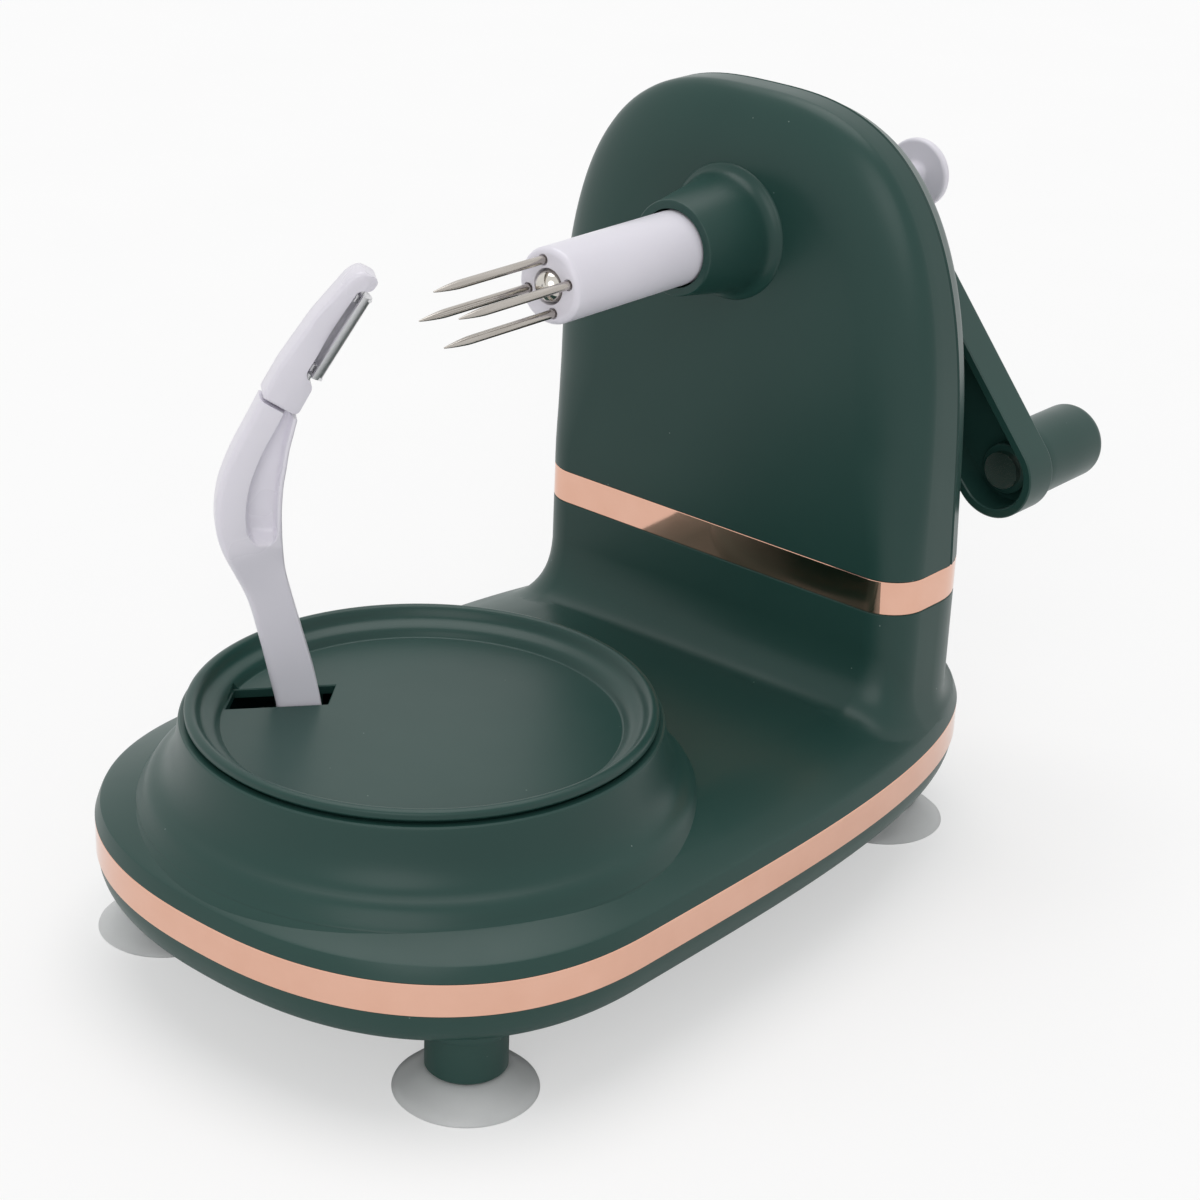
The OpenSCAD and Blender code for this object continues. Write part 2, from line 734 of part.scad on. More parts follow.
// Hollow shaft from fork hub to crank
module drive_shaft() {
  color("#b4b7bb")
    placed()
      difference() {
        axis_tube(shaft_front_y, shaft_rear_y, shaft_r, rod_r + run_gap);
        on_axis(stem_bore_y)
          cylinder(h = 40, r = stem_r + run_gap);
      }
}
module drive_bevel_gear() {
  color("#e4e3e0")
    placed()
      translate([0, vert_y + bevel_r, axis_z])
        rotate([90, 0, 0])
          bevel(-90, shaft_r, 7.2, 3.6);
}

// White hub that carries the tines and houses the ejector spring
module fork_hub() {
  color("#dddbe2")
    placed()
      on_axis(hub_front_y)
        difference() {
          rotate_extrude($fn = 48)
            polygon([[0, 0], [hub_r - 1.2, 0], [hub_r, 1.2], [hub_r, hub_rear_y - hub_front_y],
              [0, hub_rear_y - hub_front_y]]);
          translate([0, 0, hub_bore_y - hub_front_y])
            cylinder(h = 80, r = shaft_r);
          translate([0, 0, -1])
            cylinder(h = 80, r = rod_r + run_gap);
          translate([0, 0, -1])
            cylinder(h = 3.4, r = dome_r + 0.3);
          for (a = [0:90:270])
            rotate([0, 0, a - fork_turn])
              translate([tine_circle_r, 0, -1])
                cylinder(h = 7, r = tine_r);
        }
}
module fork_tines() {
  color("#c2c5c9")
    placed()
      for (a = [0:90:270])
        on_axis(hub_front_y)
          rotate([0, 0, a - fork_turn])
            translate([tine_circle_r, 0, 0])
              rotate_extrude($fn = 24)
                polygon([[0, tine_tip_y - hub_front_y], [tine_r, tine_tip_y - hub_front_y + 7],
                  [tine_r, 6], [0, 6]]);
}

// Plan of a bar with round ends, r1 at the origin and r2 at distance l
module bar(r1, r2, l) {
  a = acos((r1 - r2) / l);
  circle(r = r1);
  translate([l, 0])
    circle(r = r2);
  polygon([[r1 * cos(a), r1 * sin(a)], [l + r2 * cos(a), r2 * sin(a)],
    [l + r2 * cos(a), -r2 * sin(a)], [r1 * cos(a), -r1 * sin(a)]]);
}

// Crank arm: a shell open towards the tower, with a hub on the shaft and a boss for the pin
module crank_arm() {
  color("#2c4643")
    placed()
      difference() {
        union() {
          on_axis(crank_y)
            rotate([0, 0, crank_angle])
              difference() {
                linear_extrude(height = crank_depth)
                  bar(crank_hub_r, crank_end_r, crank_len);
                translate([0, 0, -1])
                  linear_extrude(height = crank_depth - crank_wall)
                    bar(crank_hub_r - crank_wall, crank_end_r - crank_wall, crank_len);
              }
          on_axis(rear_boss_y + 0.6)
            cylinder(h = crank_back_y - rear_boss_y - 1, r = shaft_r + 3.4);
          translate([grip_x, pin_head_y + 1.8, grip_z])
            rotate([-90, 0, 0])
              cylinder(h = 4.6, r = 6);
        }
        on_axis(rear_boss_y)
          cylinder(h = shaft_rear_y - rear_boss_y, r = shaft_r);
        on_axis(rear_boss_y)
          cylinder(h = 40, r = stem_r + run_gap);
        translate([grip_x, crank_y, grip_z])
          rotate([-90, 0, 0])
            cylinder(h = 40, r = pin_r);
      }
}
module crank_pin() {
  color("#b4b7bb")
    placed()
      translate([grip_x, pin_head_y, grip_z])
        rotate([-90, 0, 0])
          rotate_extrude($fn = 32)
            polygon([[0, 0], [pin_r + 1.4, 0], [pin_r + 1.4, 1.8], [pin_r, 1.8],
              [pin_r, pin_end_y - pin_head_y - 3.4],
              [pin_r + 0.3, pin_end_y - pin_head_y - 2.8], [pin_r + 0.3, pin_end_y - pin_head_y - 2],
              [pin_r - 0.6, pin_end_y - pin_head_y], [0, pin_end_y - pin_head_y]]);
}
module crank_grip() {
  p = pin_end_y - grip_y;
  color("#2c4643")
    placed()
      translate([grip_x, grip_y, grip_z])
        rotate([-90, 0, 0])
          rotate_extrude($fn = 48)
            polygon(concat([[pin_r + run_gap, 0], [grip_r - 0.5, 0], [grip_r, 0.5]],
              [for (a = [0:18:90]) [grip_r - 4.4 + 4 * cos(a), grip_len - 4 + 4 * sin(a)]],
              [[0, grip_len], [0, p + 0.5], [pin_r + run_gap, p + 0.5], [pin_r + run_gap, p - 1],
              [pin_r + 0.42, p - 1.5], [pin_r + 0.42, p - 3.2], [pin_r + run_gap, p - 3.9]]));
}

// Push rod with a dome between the tines
module eject_rod() {
  color("#c2c5c9")
    placed()
      on_axis(hub_front_y)
        rotate_extrude($fn = 32)
          polygon(concat([for (a = [0:15:90]) [dome_r * sin(a), 1.4 - dome_r * cos(a)]],
            [[dome_r, 2], [rod_r, 2], [rod_r, button_y + 2 - hub_front_y],
            [0, button_y + 2 - hub_front_y]]));
}
module eject_collar() {
  color("#b4b7bb")
    placed()
      axis_tube(shaft_front_y - 1.5, shaft_front_y - 0.1, shaft_r - 0.5, rod_r);
}
module eject_button() {
  color("#dddbe2")
    placed()
      on_axis(stem_front_y)
        difference() {
          rotate_extrude($fn = 40)
            polygon(concat([[0, 0], [stem_r, 0], [stem_r, button_y - stem_front_y],
              [button_r - 0.6, button_y - stem_front_y],
              [button_r, button_y - stem_front_y + 0.6]],
              [for (a = [0:15:90]) [button_r * cos(a), button_y - stem_front_y + 1.6 + 2.6 * sin(a)]]));
          translate([0, 0, -1])
            cylinder(h = button_y - stem_front_y + 3, r = rod_r);
        }
}
module eject_spring() {
  color("#a4a7ab")
    placed()
      on_axis(hub_bore_y + 0.1)
        coil(3.05, 0.32, shaft_front_y - 1.7 - hub_bore_y, 6);
}

// Vertical shaft in the tower, its bevel gear and its pinion in the base
module vertical_shaft() {
  color("#b4b7bb")
    placed()
      translate([0, vert_y, tray_low_z + 0.8])
        cylinder(h = axis_z - shaft_r - 1.6 - tray_low_z - 0.8, r = vshaft_r);
}
module shaft_bevel_gear() {
  color("#e4e3e0")
    placed()
      translate([0, vert_y, axis_z - bevel_r])
        bevel(90 + 180 / bevel_teeth, vshaft_r, 6, 5.4);
}
module vertical_pinion() {
  color("#e4e3e0")
    placed()
      translate([0, vert_y, gear_1_z])
        spur(teeth_v, 270, gear_w, vshaft_r);
}

// Reduction gears between vertical shaft and turntable
module gear_a() {
  color("#e4e3e0")
    placed()
      translate([0, axle_a_y, gear_1_z]) {
        spur(teeth_a, 90 + 180 / teeth_a, gear_w, axle_r + run_gap);
        difference() {
          translate([0, 0, gear_w - 0.5])
            cylinder(h = 2, r = gear_m * teeth_a2 / 2 - 2);
          cylinder(h = 20, r = axle_r + run_gap);
        }
        translate([0, 0, gear_w + 1])
          spur(teeth_a2, 270, gear_w, axle_r + run_gap);
      }
}
module gear_b() {
  color("#e4e3e0")
    placed()
      translate([0, axle_b_y, gear_2_z]) {
        spur(teeth_b, 90 + 180 / teeth_b, gear_w, axle_r + run_gap);
        difference() {
          translate([0, 0, gear_w - 0.5])
            cylinder(h = 2, r = gear_m * teeth_b2 / 2 - 2);
          cylinder(h = 20, r = axle_r + run_gap);
        }
        translate([0, 0, gear_w + 1])
          spur(teeth_b2, 270, gear_w, axle_r + run_gap);
      }
}

// Dished turntable with its arm slot and the lugs for the arm pivot
module turntable() {
  t = table_top_z;
  lug = 3;
  near = arm_t / 2 + lug_gap;
  color("#2c4643")
    placed()
      difference() {
        union() {
          rotate_extrude($fn = 72)
            polygon([[0, under_z], [table_r - 3.6, under_z], [table_r - 2, under_z + 1.6],
              [table_r - 1.7, t - 2.2],
              [table_r - 0.6, t - 2.2], [table_r, t - 1.6], [table_r, t - 0.8],
              [table_r - 0.5, t - 0.2], [table_r - 1.2, t],
              [table_r - 2, t - 0.2], [table_r - 2.6, t - 0.9], [table_r - 3.2, t - 2.1],
              [table_r - 4.2, t - 2.9],
              [table_r - 5.6, t - 3.3], [floor_r + 0.7, t - 4], [floor_r, floor_z], [0, floor_z]]);
          for (a = [20:120:260])
            rotate([0, 0, a])
              translate([17, 0, flange_z + 2.5])
                cylinder(h = under_z - flange_z - 2, r = 4);
          rotate([90, 0, arm_az])
            for (z = [arm_off - near - lug, arm_off + near + spring_room])
              translate([pivot_s - 5, pivot_z, z])
                union() {
                  cube([10, under_z - pivot_z + 0.5, lug]);
                  translate([5, 0, 0])
                    cylinder(h = lug, r = 4.4);
                }
        }
        rotate([90, 0, arm_az])
          translate([0, floor_z + 1, arm_off])
            rotate([90, 0, 0])
              linear_extrude(height = floor_t + 2)
                polygon([[slot_in - slot_skew / 2, slot_w / 2], [slot_in + slot_skew / 2, -slot_w / 2],
                  [slot_in + slot_len + slot_skew / 2, -slot_w / 2],
                  [slot_in + slot_len - slot_skew / 2, slot_w / 2]]);
        for (a = [20:120:260])
          rotate([0, 0, a])
            translate([17, 0, flange_z])
              cylinder(h = under_z - flange_z + 0.6, r = screw_r);
        rotate([90, 0, arm_az])
          translate([pivot_s, pivot_z, arm_off - 20])
            cylinder(h = 40, r = arm_pin_r);
      }
}
module turntable_gear() {
  color("#e4e3e0")
    placed()
      difference() {
        union() {
          translate([0, 0, gear_3_z])
            spur(teeth_t, 90 + 180 / teeth_t, gear_w, post_axle_r);
          translate([0, 0, gear_3_z])
            cylinder(h = under_z - gear_3_z, r = 12.5);
          translate([0, 0, flange_z])
            cylinder(h = 2.5, r = 20);
        }
        translate([0, 0, gear_3_z - 1])
          cylinder(h = flange_z - gear_3_z + 1, r = post_axle_r + run_gap);
        translate([0, 0, gear_3_z])
          cylinder(h = under_z - gear_3_z - 1.5, r = vshaft_r);
        for (a = [20:120:260])
          rotate([0, 0, a])
            translate([17, 0, flange_z - 1])
              cylinder(h = 10, r = screw_r + 0.1);
      }
}
module gear_screws() {
  color("#9a9da0")
    placed()
      for (a = [20:120:260])
        rotate([0, 0, a])
          translate([17, 0, flange_z])
            screw(6, 1.6);
}

// Screw and washer that hold the turntable down on the tray's post
module pivot_screw() {
  color("#9a9da0")
    placed()
      translate([0, 0, tray_low_z + 0.8])
        union() {
          cylinder(h = 2.6, r = 5);
          cylinder(h = under_z - tray_low_z - 3, r = vshaft_r);
        }
}
module pivot_washer() {
  color("#b4b7bb")
    placed()
      translate([0, 0, tray_low_z + 3.4])
        difference() {
          cylinder(h = 1.1, r = 6.4);
          translate([0, 0, -1])
            cylinder(h = 4, r = vshaft_r + 0.02);
        }
}

// Edges of the arm: smooth curves through the slot, the belly and the joint
function herm(u, a, ma, b, mb) = a * (2 * u * u * u - 3 * u * u + 1) + ma * (u * u * u - 2 * u * u + u)
  + b * (3 * u * u - 2 * u * u * u) + mb * (u * u * u - u * u);
function arm_mid(z) = let (zb = floor_z + 42, d = zb - floor_z, e = joint_z - zb)
  z < zb ? herm((z - floor_z) / d, pivot_s + 0.9, 0.24 * d, belly_s, 0.02 * d)
  : herm((z - zb) / e, belly_s, 0.02 * e, joint_s, -0.55 * e);
function arm_half(z) = let (zb = floor_z + 42, d = zb - floor_z, e = joint_z - zb)
  z < zb ? herm((z - floor_z) / d, 4.9, -0.05 * d, belly_w, 0.1 * d)
  : herm((z - zb) / e, belly_w, 0, 5.1, -0.04 * e);
module arm_plan() {
  n = 22;
  hi = joint_z + 6;
  lo = pivot_z + 3;
  polygon(concat([for (i = [0:n]) let (z = lo + (hi - lo) * i / n) [arm_mid(z) + arm_half(z), z]],
    [for (i = [n:-1:0]) let (z = lo + (hi - lo) * i / n) [arm_mid(z) - arm_half(z), z]]));
}
module peeler_arm() {
  color("#dddbe2")
    placed()
      in_swing(arm_t)
        difference() {
          union() {
            linear_extrude(height = arm_t)
              difference() {
                arm_plan();
                at_head()
                  translate([-30, 0])
                    square([60, 40]);
              }
            translate([pivot_s, pivot_z, 0])
              cylinder(h = arm_t, r = 4.6);
          }
          translate([pivot_s, pivot_z, -1])
            cylinder(h = arm_t + 2, r = arm_pin_r + run_gap);
          translate([belly_s - 1.6, floor_z + 39, 3.6 - 10])
            linear_extrude(height = 10)
              rotate([0, 0, 106])
                bar(3, 1.1, 24);
          at_head()
            translate([-2.5, -8, arm_t / 2 - 1.5])
              cube([5, 9, 3]);
        }
}
module arm_pivot_pin() {
  color("#b4b7bb")
    placed()
      in_swing(arm_t)
        translate([pivot_s, pivot_z, -lug_gap - 3])
          cylinder(h = arm_t + 2 * lug_gap + 6 + spring_room, r = arm_pin_r);
}
module arm_spring() {
  color("#a4a7ab")
    placed()
      in_swing(arm_t)
        translate([pivot_s, pivot_z, arm_t + lug_gap + 0.2])
          coil(2.5, 0.4, spring_room - 0.3, 2);
}

// Plug-on head that carries the blade between a lower shoulder and an upper hook
module blade_holder() {
  color("#dddbe2")
    placed()
      in_swing(arm_t)
        at_head()
          difference() {
            union() {
              linear_extrude(height = arm_t)
                polygon([[-5, 0], [5, 0], [5.2, 8], [4.4, 20], [2.6, head_len - 2.5], [0.6, head_len],
                  [-2.6, head_len],
                  [-3.6, head_len - 1], [-3.6, head_len - 3.4], [0.6, head_len - 4.4], [0.9, 9.2],
                  [-4.6, 6.6]]);
              translate([-2.4, -7.8, arm_t / 2 - 1.4])
                cube([4.8, 8, 2.8]);
            }
            translate([-1.7, 5, arm_t / 2])
              rotate([-90, 0, 0])
                cylinder(h = head_len - 6, r = 0.9 + run_gap);
          }
}
module blade() {
  h = head_len - 4.6 - blade_len;
  color("#c9ccd0")
    placed()
      in_swing(arm_t)
        at_head()
          translate([-1.7, h, arm_t / 2])
            rotate([-90, 0, 0]) {
              difference() {
                translate([1, 0, 0])
                  cylinder(h = blade_len, r = 3.8);
                translate([1, 0, -1])
                  cylinder(h = blade_len + 2, r = 3.2);
                translate([0.2, -10, -1])
                  cube([20, 20, blade_len + 2]);
                translate([-10, -0.8, 2.5])
                  cube([20, 1.6, blade_len - 5]);
              }
              for (z = [-3, blade_len - 2.6])
                translate([0, 0, z])
                  cylinder(h = 5.2, r = 0.9, $fn = 16);
              for (z = [0, blade_len - 0.6])
                translate([-2.6, -2.6, z])
                  cube([2.6, 5.2, 0.6]);
            }
}

bottom_tray();
cup_front_left();
cup_front_right();
cup_rear_left();
cup_rear_right();
base_shell();
base_band();
base_screws();
tower_band();
tower_front_shell();
tower_rear_cover();
tower_screws();
upper_bracket();
bracket_screws();
front_bush();
rear_bush();
gear_axles();
drive_shaft();
drive_bevel_gear();
fork_hub();
fork_tines();
crank_arm();
crank_pin();
crank_grip();
eject_rod();
eject_collar();
eject_button();
eject_spring();
vertical_shaft();
shaft_bevel_gear();
vertical_pinion();
gear_a();
gear_b();
turntable();
turntable_gear();
gear_screws();
pivot_screw();
pivot_washer();
peeler_arm();
arm_pivot_pin();
arm_spring();
blade_holder();
blade();
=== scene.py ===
import math

import bmesh
import bpy
from mathutils import Matrix, Vector


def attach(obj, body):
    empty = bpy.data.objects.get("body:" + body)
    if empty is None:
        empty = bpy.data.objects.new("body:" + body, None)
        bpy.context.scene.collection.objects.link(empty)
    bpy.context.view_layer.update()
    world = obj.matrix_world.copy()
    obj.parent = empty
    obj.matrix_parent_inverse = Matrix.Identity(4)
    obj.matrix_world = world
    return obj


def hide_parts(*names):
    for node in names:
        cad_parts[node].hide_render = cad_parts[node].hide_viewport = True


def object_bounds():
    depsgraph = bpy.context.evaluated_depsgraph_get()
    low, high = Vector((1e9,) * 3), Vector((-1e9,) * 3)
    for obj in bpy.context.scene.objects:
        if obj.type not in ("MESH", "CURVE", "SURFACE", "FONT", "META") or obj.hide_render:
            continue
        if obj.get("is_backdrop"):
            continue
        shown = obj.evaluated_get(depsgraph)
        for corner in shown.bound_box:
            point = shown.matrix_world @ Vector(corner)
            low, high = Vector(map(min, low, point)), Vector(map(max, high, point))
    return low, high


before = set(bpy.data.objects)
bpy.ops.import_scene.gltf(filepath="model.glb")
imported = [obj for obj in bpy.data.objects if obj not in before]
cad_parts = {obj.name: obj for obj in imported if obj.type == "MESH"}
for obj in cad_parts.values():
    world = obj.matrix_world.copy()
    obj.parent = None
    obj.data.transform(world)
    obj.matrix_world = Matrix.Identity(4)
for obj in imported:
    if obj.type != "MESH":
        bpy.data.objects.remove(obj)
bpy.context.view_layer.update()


# ---------------------------------------------------------------- Bottom tray
# One injection moulding in dark green ABS that closes the base from below. Its rim rolls in
# under the trim band, and the four posts for the suction cups grow out of its underside.

table_y = 54.25                                 # the turntable's axis lies this far before the origin
half_width, widest_y = 67.5, -3.4               # the base's half width, and where it is widest
front_egg, rear_egg = (2.32, 60.5), (3.4, 152)  # fullness and length before and behind that


def at(x, y, z):
    """A place in millimetres from the turntable axis and the table top, in the frame's metres."""
    return Vector((x, y - table_y, z)) * 0.001


def base_plan(inset):
    """The base's egg-shaped outline in millimetres, moved in by inset."""
    outline, count = [], 240
    for i in range(count):
        angle = 2 * math.pi * i / count
        c, s = math.cos(angle), math.sin(angle)
        fullness, length = front_egg if s < 0 else rear_egg
        x = (half_width - inset) * math.copysign(abs(c) ** (2 / fullness), c)
        y = (length - inset) * math.copysign(abs(s) ** (2 / fullness), s) + widest_y
        outline.append((x, y))
    return outline


def oval(inset, z):
    """The base's outline as a ring at height z."""
    return [at(x, y, z) for x, y in base_plan(inset)]


def plate(name, ring):
    """A flat plate cut to an outline, open for editing with its face selected."""
    bpy.ops.object.select_all(action="DESELECT")
    bpy.ops.mesh.primitive_circle_add(vertices=len(ring), radius=0.01, fill_type="NGON")
    piece = bpy.context.object
    piece.name = piece.data.name = name
    for corner, place in zip(piece.data.vertices, ring):
        corner.co = place
    bpy.ops.object.mode_set(mode="EDIT")
    bpy.ops.mesh.select_mode(type="VERT")
    bpy.ops.mesh.select_all(action="SELECT")
    return piece


def draw_out(piece, rings):
    """Extrudes the plate's face from its first ring on to each next one."""
    last = rings[0]
    for ring in rings[1:]:
        bpy.ops.mesh.extrude_region_move(TRANSFORM_OT_translate={"value": (0, 0, 0)})
        mesh = bmesh.from_edit_mesh(piece.data)
        place = {tuple(old): new for old, new in zip(last, ring)}
        for corner in mesh.verts:
            if corner.select:
                corner.co = place[tuple(corner.co)]
        bmesh.update_edit_mesh(piece.data)
        last = ring


def seal(piece, angle=35):
    """Merges doubles, turns the faces outwards and leaves edit mode with soft shading."""
    bpy.ops.mesh.select_all(action="SELECT")
    bpy.ops.mesh.remove_doubles(threshold=2e-6)
    bpy.ops.mesh.normals_make_consistent(inside=False)
    bpy.ops.object.mode_set(mode="OBJECT")
    bpy.ops.object.shade_smooth_by_angle(angle=math.radians(angle))
    return piece


def drawn(name, rings, angle=35):
    """A moulding that runs through a list of rings, closed at both ends."""
    piece = plate(name, rings[0])
    draw_out(piece, rings)
    return seal(piece, angle)


def turned(name, profile, foot, along=(0, 0, 1), across=(1, 0, 0), steps=96, angle=35):
    """A piece spun from its profile, pairs of radius and distance along the axis in mm."""
    along, across = Vector(along), Vector(across)
    path = [foot + (across * r + along * h) * 0.001 for r, h in profile]
    bpy.ops.object.select_all(action="DESELECT")
    bpy.ops.mesh.primitive_plane_add(size=0.001)
    piece = bpy.context.object
    piece.name = piece.data.name = name
    bpy.ops.object.mode_set(mode="EDIT")
    bpy.ops.mesh.select_mode(type="VERT")
    bpy.ops.mesh.select_all(action="SELECT")
    bpy.ops.mesh.merge(type="CENTER")
    bpy.ops.transform.translate(value=path[0])
    for start, end in zip(path, path[1:]):
        bpy.ops.mesh.extrude_vertices_move(TRANSFORM_OT_translate={"value": end - start})
    bpy.ops.mesh.select_all(action="SELECT")
    bpy.ops.mesh.spin(steps=steps, angle=2 * math.pi, center=foot, axis=along)
    return seal(piece, angle)


def bend(r, h, radius, start, stop, parts=6):
    """Profile points on an arc about (r, h), from one angle to another in degrees."""
    turns = [math.radians(start + (stop - start) * i / parts) for i in range(parts + 1)]
    return [(r + radius * math.cos(a), h + radius * math.sin(a)) for a in turns]


def picked(*pieces):
    """Selects these pieces and makes the first one active."""
    bpy.ops.object.select_all(action="DESELECT")
    for piece in pieces:
        piece.select_set(True)
    bpy.context.view_layer.objects.active = pieces[0]


def joined(piece, tools, how="UNION", angle=35):
    """Fuses solids that stand apart from each other to a piece, or cuts them out, and uses them up."""
    picked(*tools)
    bpy.ops.object.join()
    step = piece.modifiers.new(how, "BOOLEAN")
    step.operation = how
    step.solver = "EXACT"
    step.object = tools[0]
    picked(piece)
    bpy.ops.object.modifier_apply(modifier=step.name)
    bpy.data.objects.remove(tools[0])
    bpy.ops.object.shade_smooth_by_angle(angle=math.radians(angle))
    return piece


def even(piece):
    """Keeps large flat faces flat in the shading, next to their rounded edges."""
    picked(piece)
    step = piece.modifiers.new("even shading", "WEIGHTED_NORMAL")
    step.keep_sharp = True
    bpy.ops.object.modifier_apply(modifier=step.name)


def linear(code):
    """An sRGB hex colour as the linear values a shader takes."""
    parts = [int(code[i:i + 2], 16) / 255 for i in (1, 3, 5)]
    return [c / 12.92 if c <= 0.04045 else ((c + 0.055) / 1.055) ** 2.4 for c in parts] + [1]


def add(tree, kind, settings, links=()):
    """Adds a node, sets its values and links outputs to its named or numbered inputs."""
    node = tree.nodes.new(kind)
    for name, value in settings.items():
        if isinstance(name, int) or name in node.inputs:
            node.inputs[name].default_value = value
        else:
            setattr(node, name, value)
    for output, name in links:
        tree.links.new(output, node.inputs[name])
    return node


def new_material(name):
    """A bare material with its tree, surface shader and object coordinates."""
    material = bpy.data.materials.new(name)
    material.use_nodes = True
    tree = material.node_tree
    shader = tree.nodes["Principled BSDF"]
    place = add(tree, "ShaderNodeTexCoord", {}).outputs["Object"]
    return material, tree, shader, place


def per_mm(size):
    """Scale of a texture whose pattern has this size in millimetres."""
    return 1000 / size


def noise(tree, place, size, detail):
    """The values of a noise whose pattern has this size in millimetres."""
    settings = {"Scale": per_mm(size), "Detail": detail}
    return add(tree, "ShaderNodeTexNoise", settings, [(place, "Vector")]).outputs["Fac"]


def tones(tree, value, first, second):
    """A colour that runs from one hex code to another with a texture's value."""
    settings = {"data_type": "RGBA", 6: linear(first), 7: linear(second)}
    return add(tree, "ShaderNodeMix", settings, [(value, 0)]).outputs[2]


def span(tree, value, low, high):
    """A texture's value stretched between two levels."""
    settings = {"To Min": low, "To Max": high}
    return add(tree, "ShaderNodeMapRange", settings, [(value, "Value")]).outputs["Result"]


def relief(tree, value, strength, depth):
    """The normals of a surface that a texture's value raises, depth in metres."""
    settings = {"Strength": strength, "Distance": depth}
    return add(tree, "ShaderNodeBump", settings, [(value, "Height")]).outputs["Normal"]


def feed(tree, shader, colour, roughness, normal=None):
    """Links a colour, a roughness and, where there is a relief, its normals to the shader."""
    for output, name in ((colour, "Base Color"), (roughness, "Roughness"), (normal, "Normal")):
        if output is not None:
            tree.links.new(output, shader.inputs[name])


# ABS moulded in a spark-eroded mould: a deep green with a satin skin of very fine grit, drawn
# coarser than the real 0.1 mm so that it shows, faint clouds in the colour where the melt
# flowed, and a few specks of dust on the finished skin.
green_abs, tree, shader, place = new_material("ABS moulded dark green satin")
tint = tones(tree, noise(tree, place, 38, 2), "#1f3e39", "#264640")
speck = add(tree, "ShaderNodeTexVoronoi", {"Scale": per_mm(7.5)}, [(place, "Vector")])
dot = add(tree, "ShaderNodeMapRange", {"From Min": 0.016, "From Max": 0.026, "To Min": 0.55, "To Max": 0},
          [(speck.outputs["Distance"], "Value")])
dusty = add(tree, "ShaderNodeMix", {"data_type": "RGBA", 7: linear("#93a59f")},
            [(dot.outputs["Result"], 0), (tint, 6)])
feed(tree, shader, dusty.outputs[2], span(tree, noise(tree, place, 11, 3), 0.3, 0.38),
     relief(tree, noise(tree, place, 0.45, 2), 0.12, 0.00002))
shader.inputs["IOR"].default_value = 1.53
shader.inputs["Specular IOR Level"].default_value = 0.27

feet = [(-45.4, -33.2), (45.4, -33.2), (-37.5, 119.9), (37.5, 119.9)]
tray_screws = [(-46, 15), (46, 15), (-40, 84), (40, 84)]
tray_top = 24.9
tray_rings = [oval(6.4 + 6.1 * r, tray_top + 8.4 * h) for r, h in bend(0, 0, 1, 270, 180, 10)]
tray_rings += [oval(0.6, tray_top), oval(4.4, tray_top), oval(4.4, 18.7)]
tray = drawn("tray", tray_rings)
post_profile = [(0, 13.6), (3.6, 13.6), (3.6, 5.6), (8.0, 5.6), (8.5, 6.1), (8.5, 14.6)]
post_profile += bend(10.5, 14.6, 2, 180, 90, 5) + [(10.5, 17.8), (0, 17.8)]
posts = [turned("post", post_profile, at(x, y, 0), steps=64) for x, y in feet]
boss_profile = [(0, 17), (4.5, 17), (4.5, 21.2), (0, 21.2)]
bosses = [turned("boss", boss_profile, at(x, y, 0), steps=48) for x, y in tray_screws]
axle_cup = [(0, 18), (2.6, 18), (2.6, 21.1), (5, 21.1), (5, 17.3), (0, 17.3)]
axle_cups = [turned("axle_cup", axle_cup, at(0, y, 0), steps=48) for y in (48.75, 78.75, 108.75)]
axle = turned("axle", [(0, 18), (9.5, 18), (9.5, 26), (6, 26), (6, 45.4), (0, 45.4)], at(0, 0, 0))
joined(tray, posts + bosses + axle_cups + [axle])
hole_profile = [(0, 15), (3.1, 15), (3.1, 18.5), (1.6, 18.5), (1.6, 25), (0, 25)]
holes = [turned("hole", hole_profile, at(x, y, 0), steps=48) for x, y in tray_screws]
bore_profile = [(0, 15.5), (7, 15.5), (7, 21.1), (2.56, 21.1), (2.56, 47), (0, 47)]
bore = turned("bore", bore_profile, at(0, 0, 0), steps=64)
joined(tray, holes + [bore], "DIFFERENCE")
even(tray)
tray.data.materials.append(green_abs)
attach(tray, "base")
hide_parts("bottom_tray")


# ---------------------------------------------------------------- Suction cups
# Four soft cups of clear PVC, each pressed with its neck into a post from below. The lip lies
# flat on the worktop, and the hollow under it holds the cup down when it is pressed.

def copied(piece, name, move):
    """A second piece with its own mesh, moved in its mesh by millimetres."""
    picked(piece)
    bpy.ops.object.duplicate()
    twin = bpy.context.object
    twin.name = twin.data.name = name
    bpy.ops.object.mode_set(mode="EDIT")
    bpy.ops.mesh.select_all(action="SELECT")
    bpy.ops.transform.translate(value=Vector(move).to_3d() * 0.001)
    bpy.ops.object.mode_set(mode="OBJECT")
    return twin


def row(first, places):
    """The piece number 1, which stands at the first place, and its numbered copies at the others."""
    moves = [[b - a for a, b in zip(places[0], place)] for place in places[1:]]
    return [first] + [copied(first, first.name[:-1] + str(i), move) for i, move in enumerate(moves, 2)]


# Plasticised PVC moulded clear: milky grey with a soft shine, light passes through the thin lip,
# and a faint haze shows where the wall is thicker.
clear_pvc, tree, shader, place = new_material("PVC moulded soft clear")
haze = noise(tree, place, 6, 2)
feed(tree, shader, tones(tree, haze, "#d9dbdb", "#e4e6e6"), span(tree, haze, 0.3, 0.42))
shader.inputs["IOR"].default_value = 1.5
shader.inputs["Transmission Weight"].default_value = 0.2

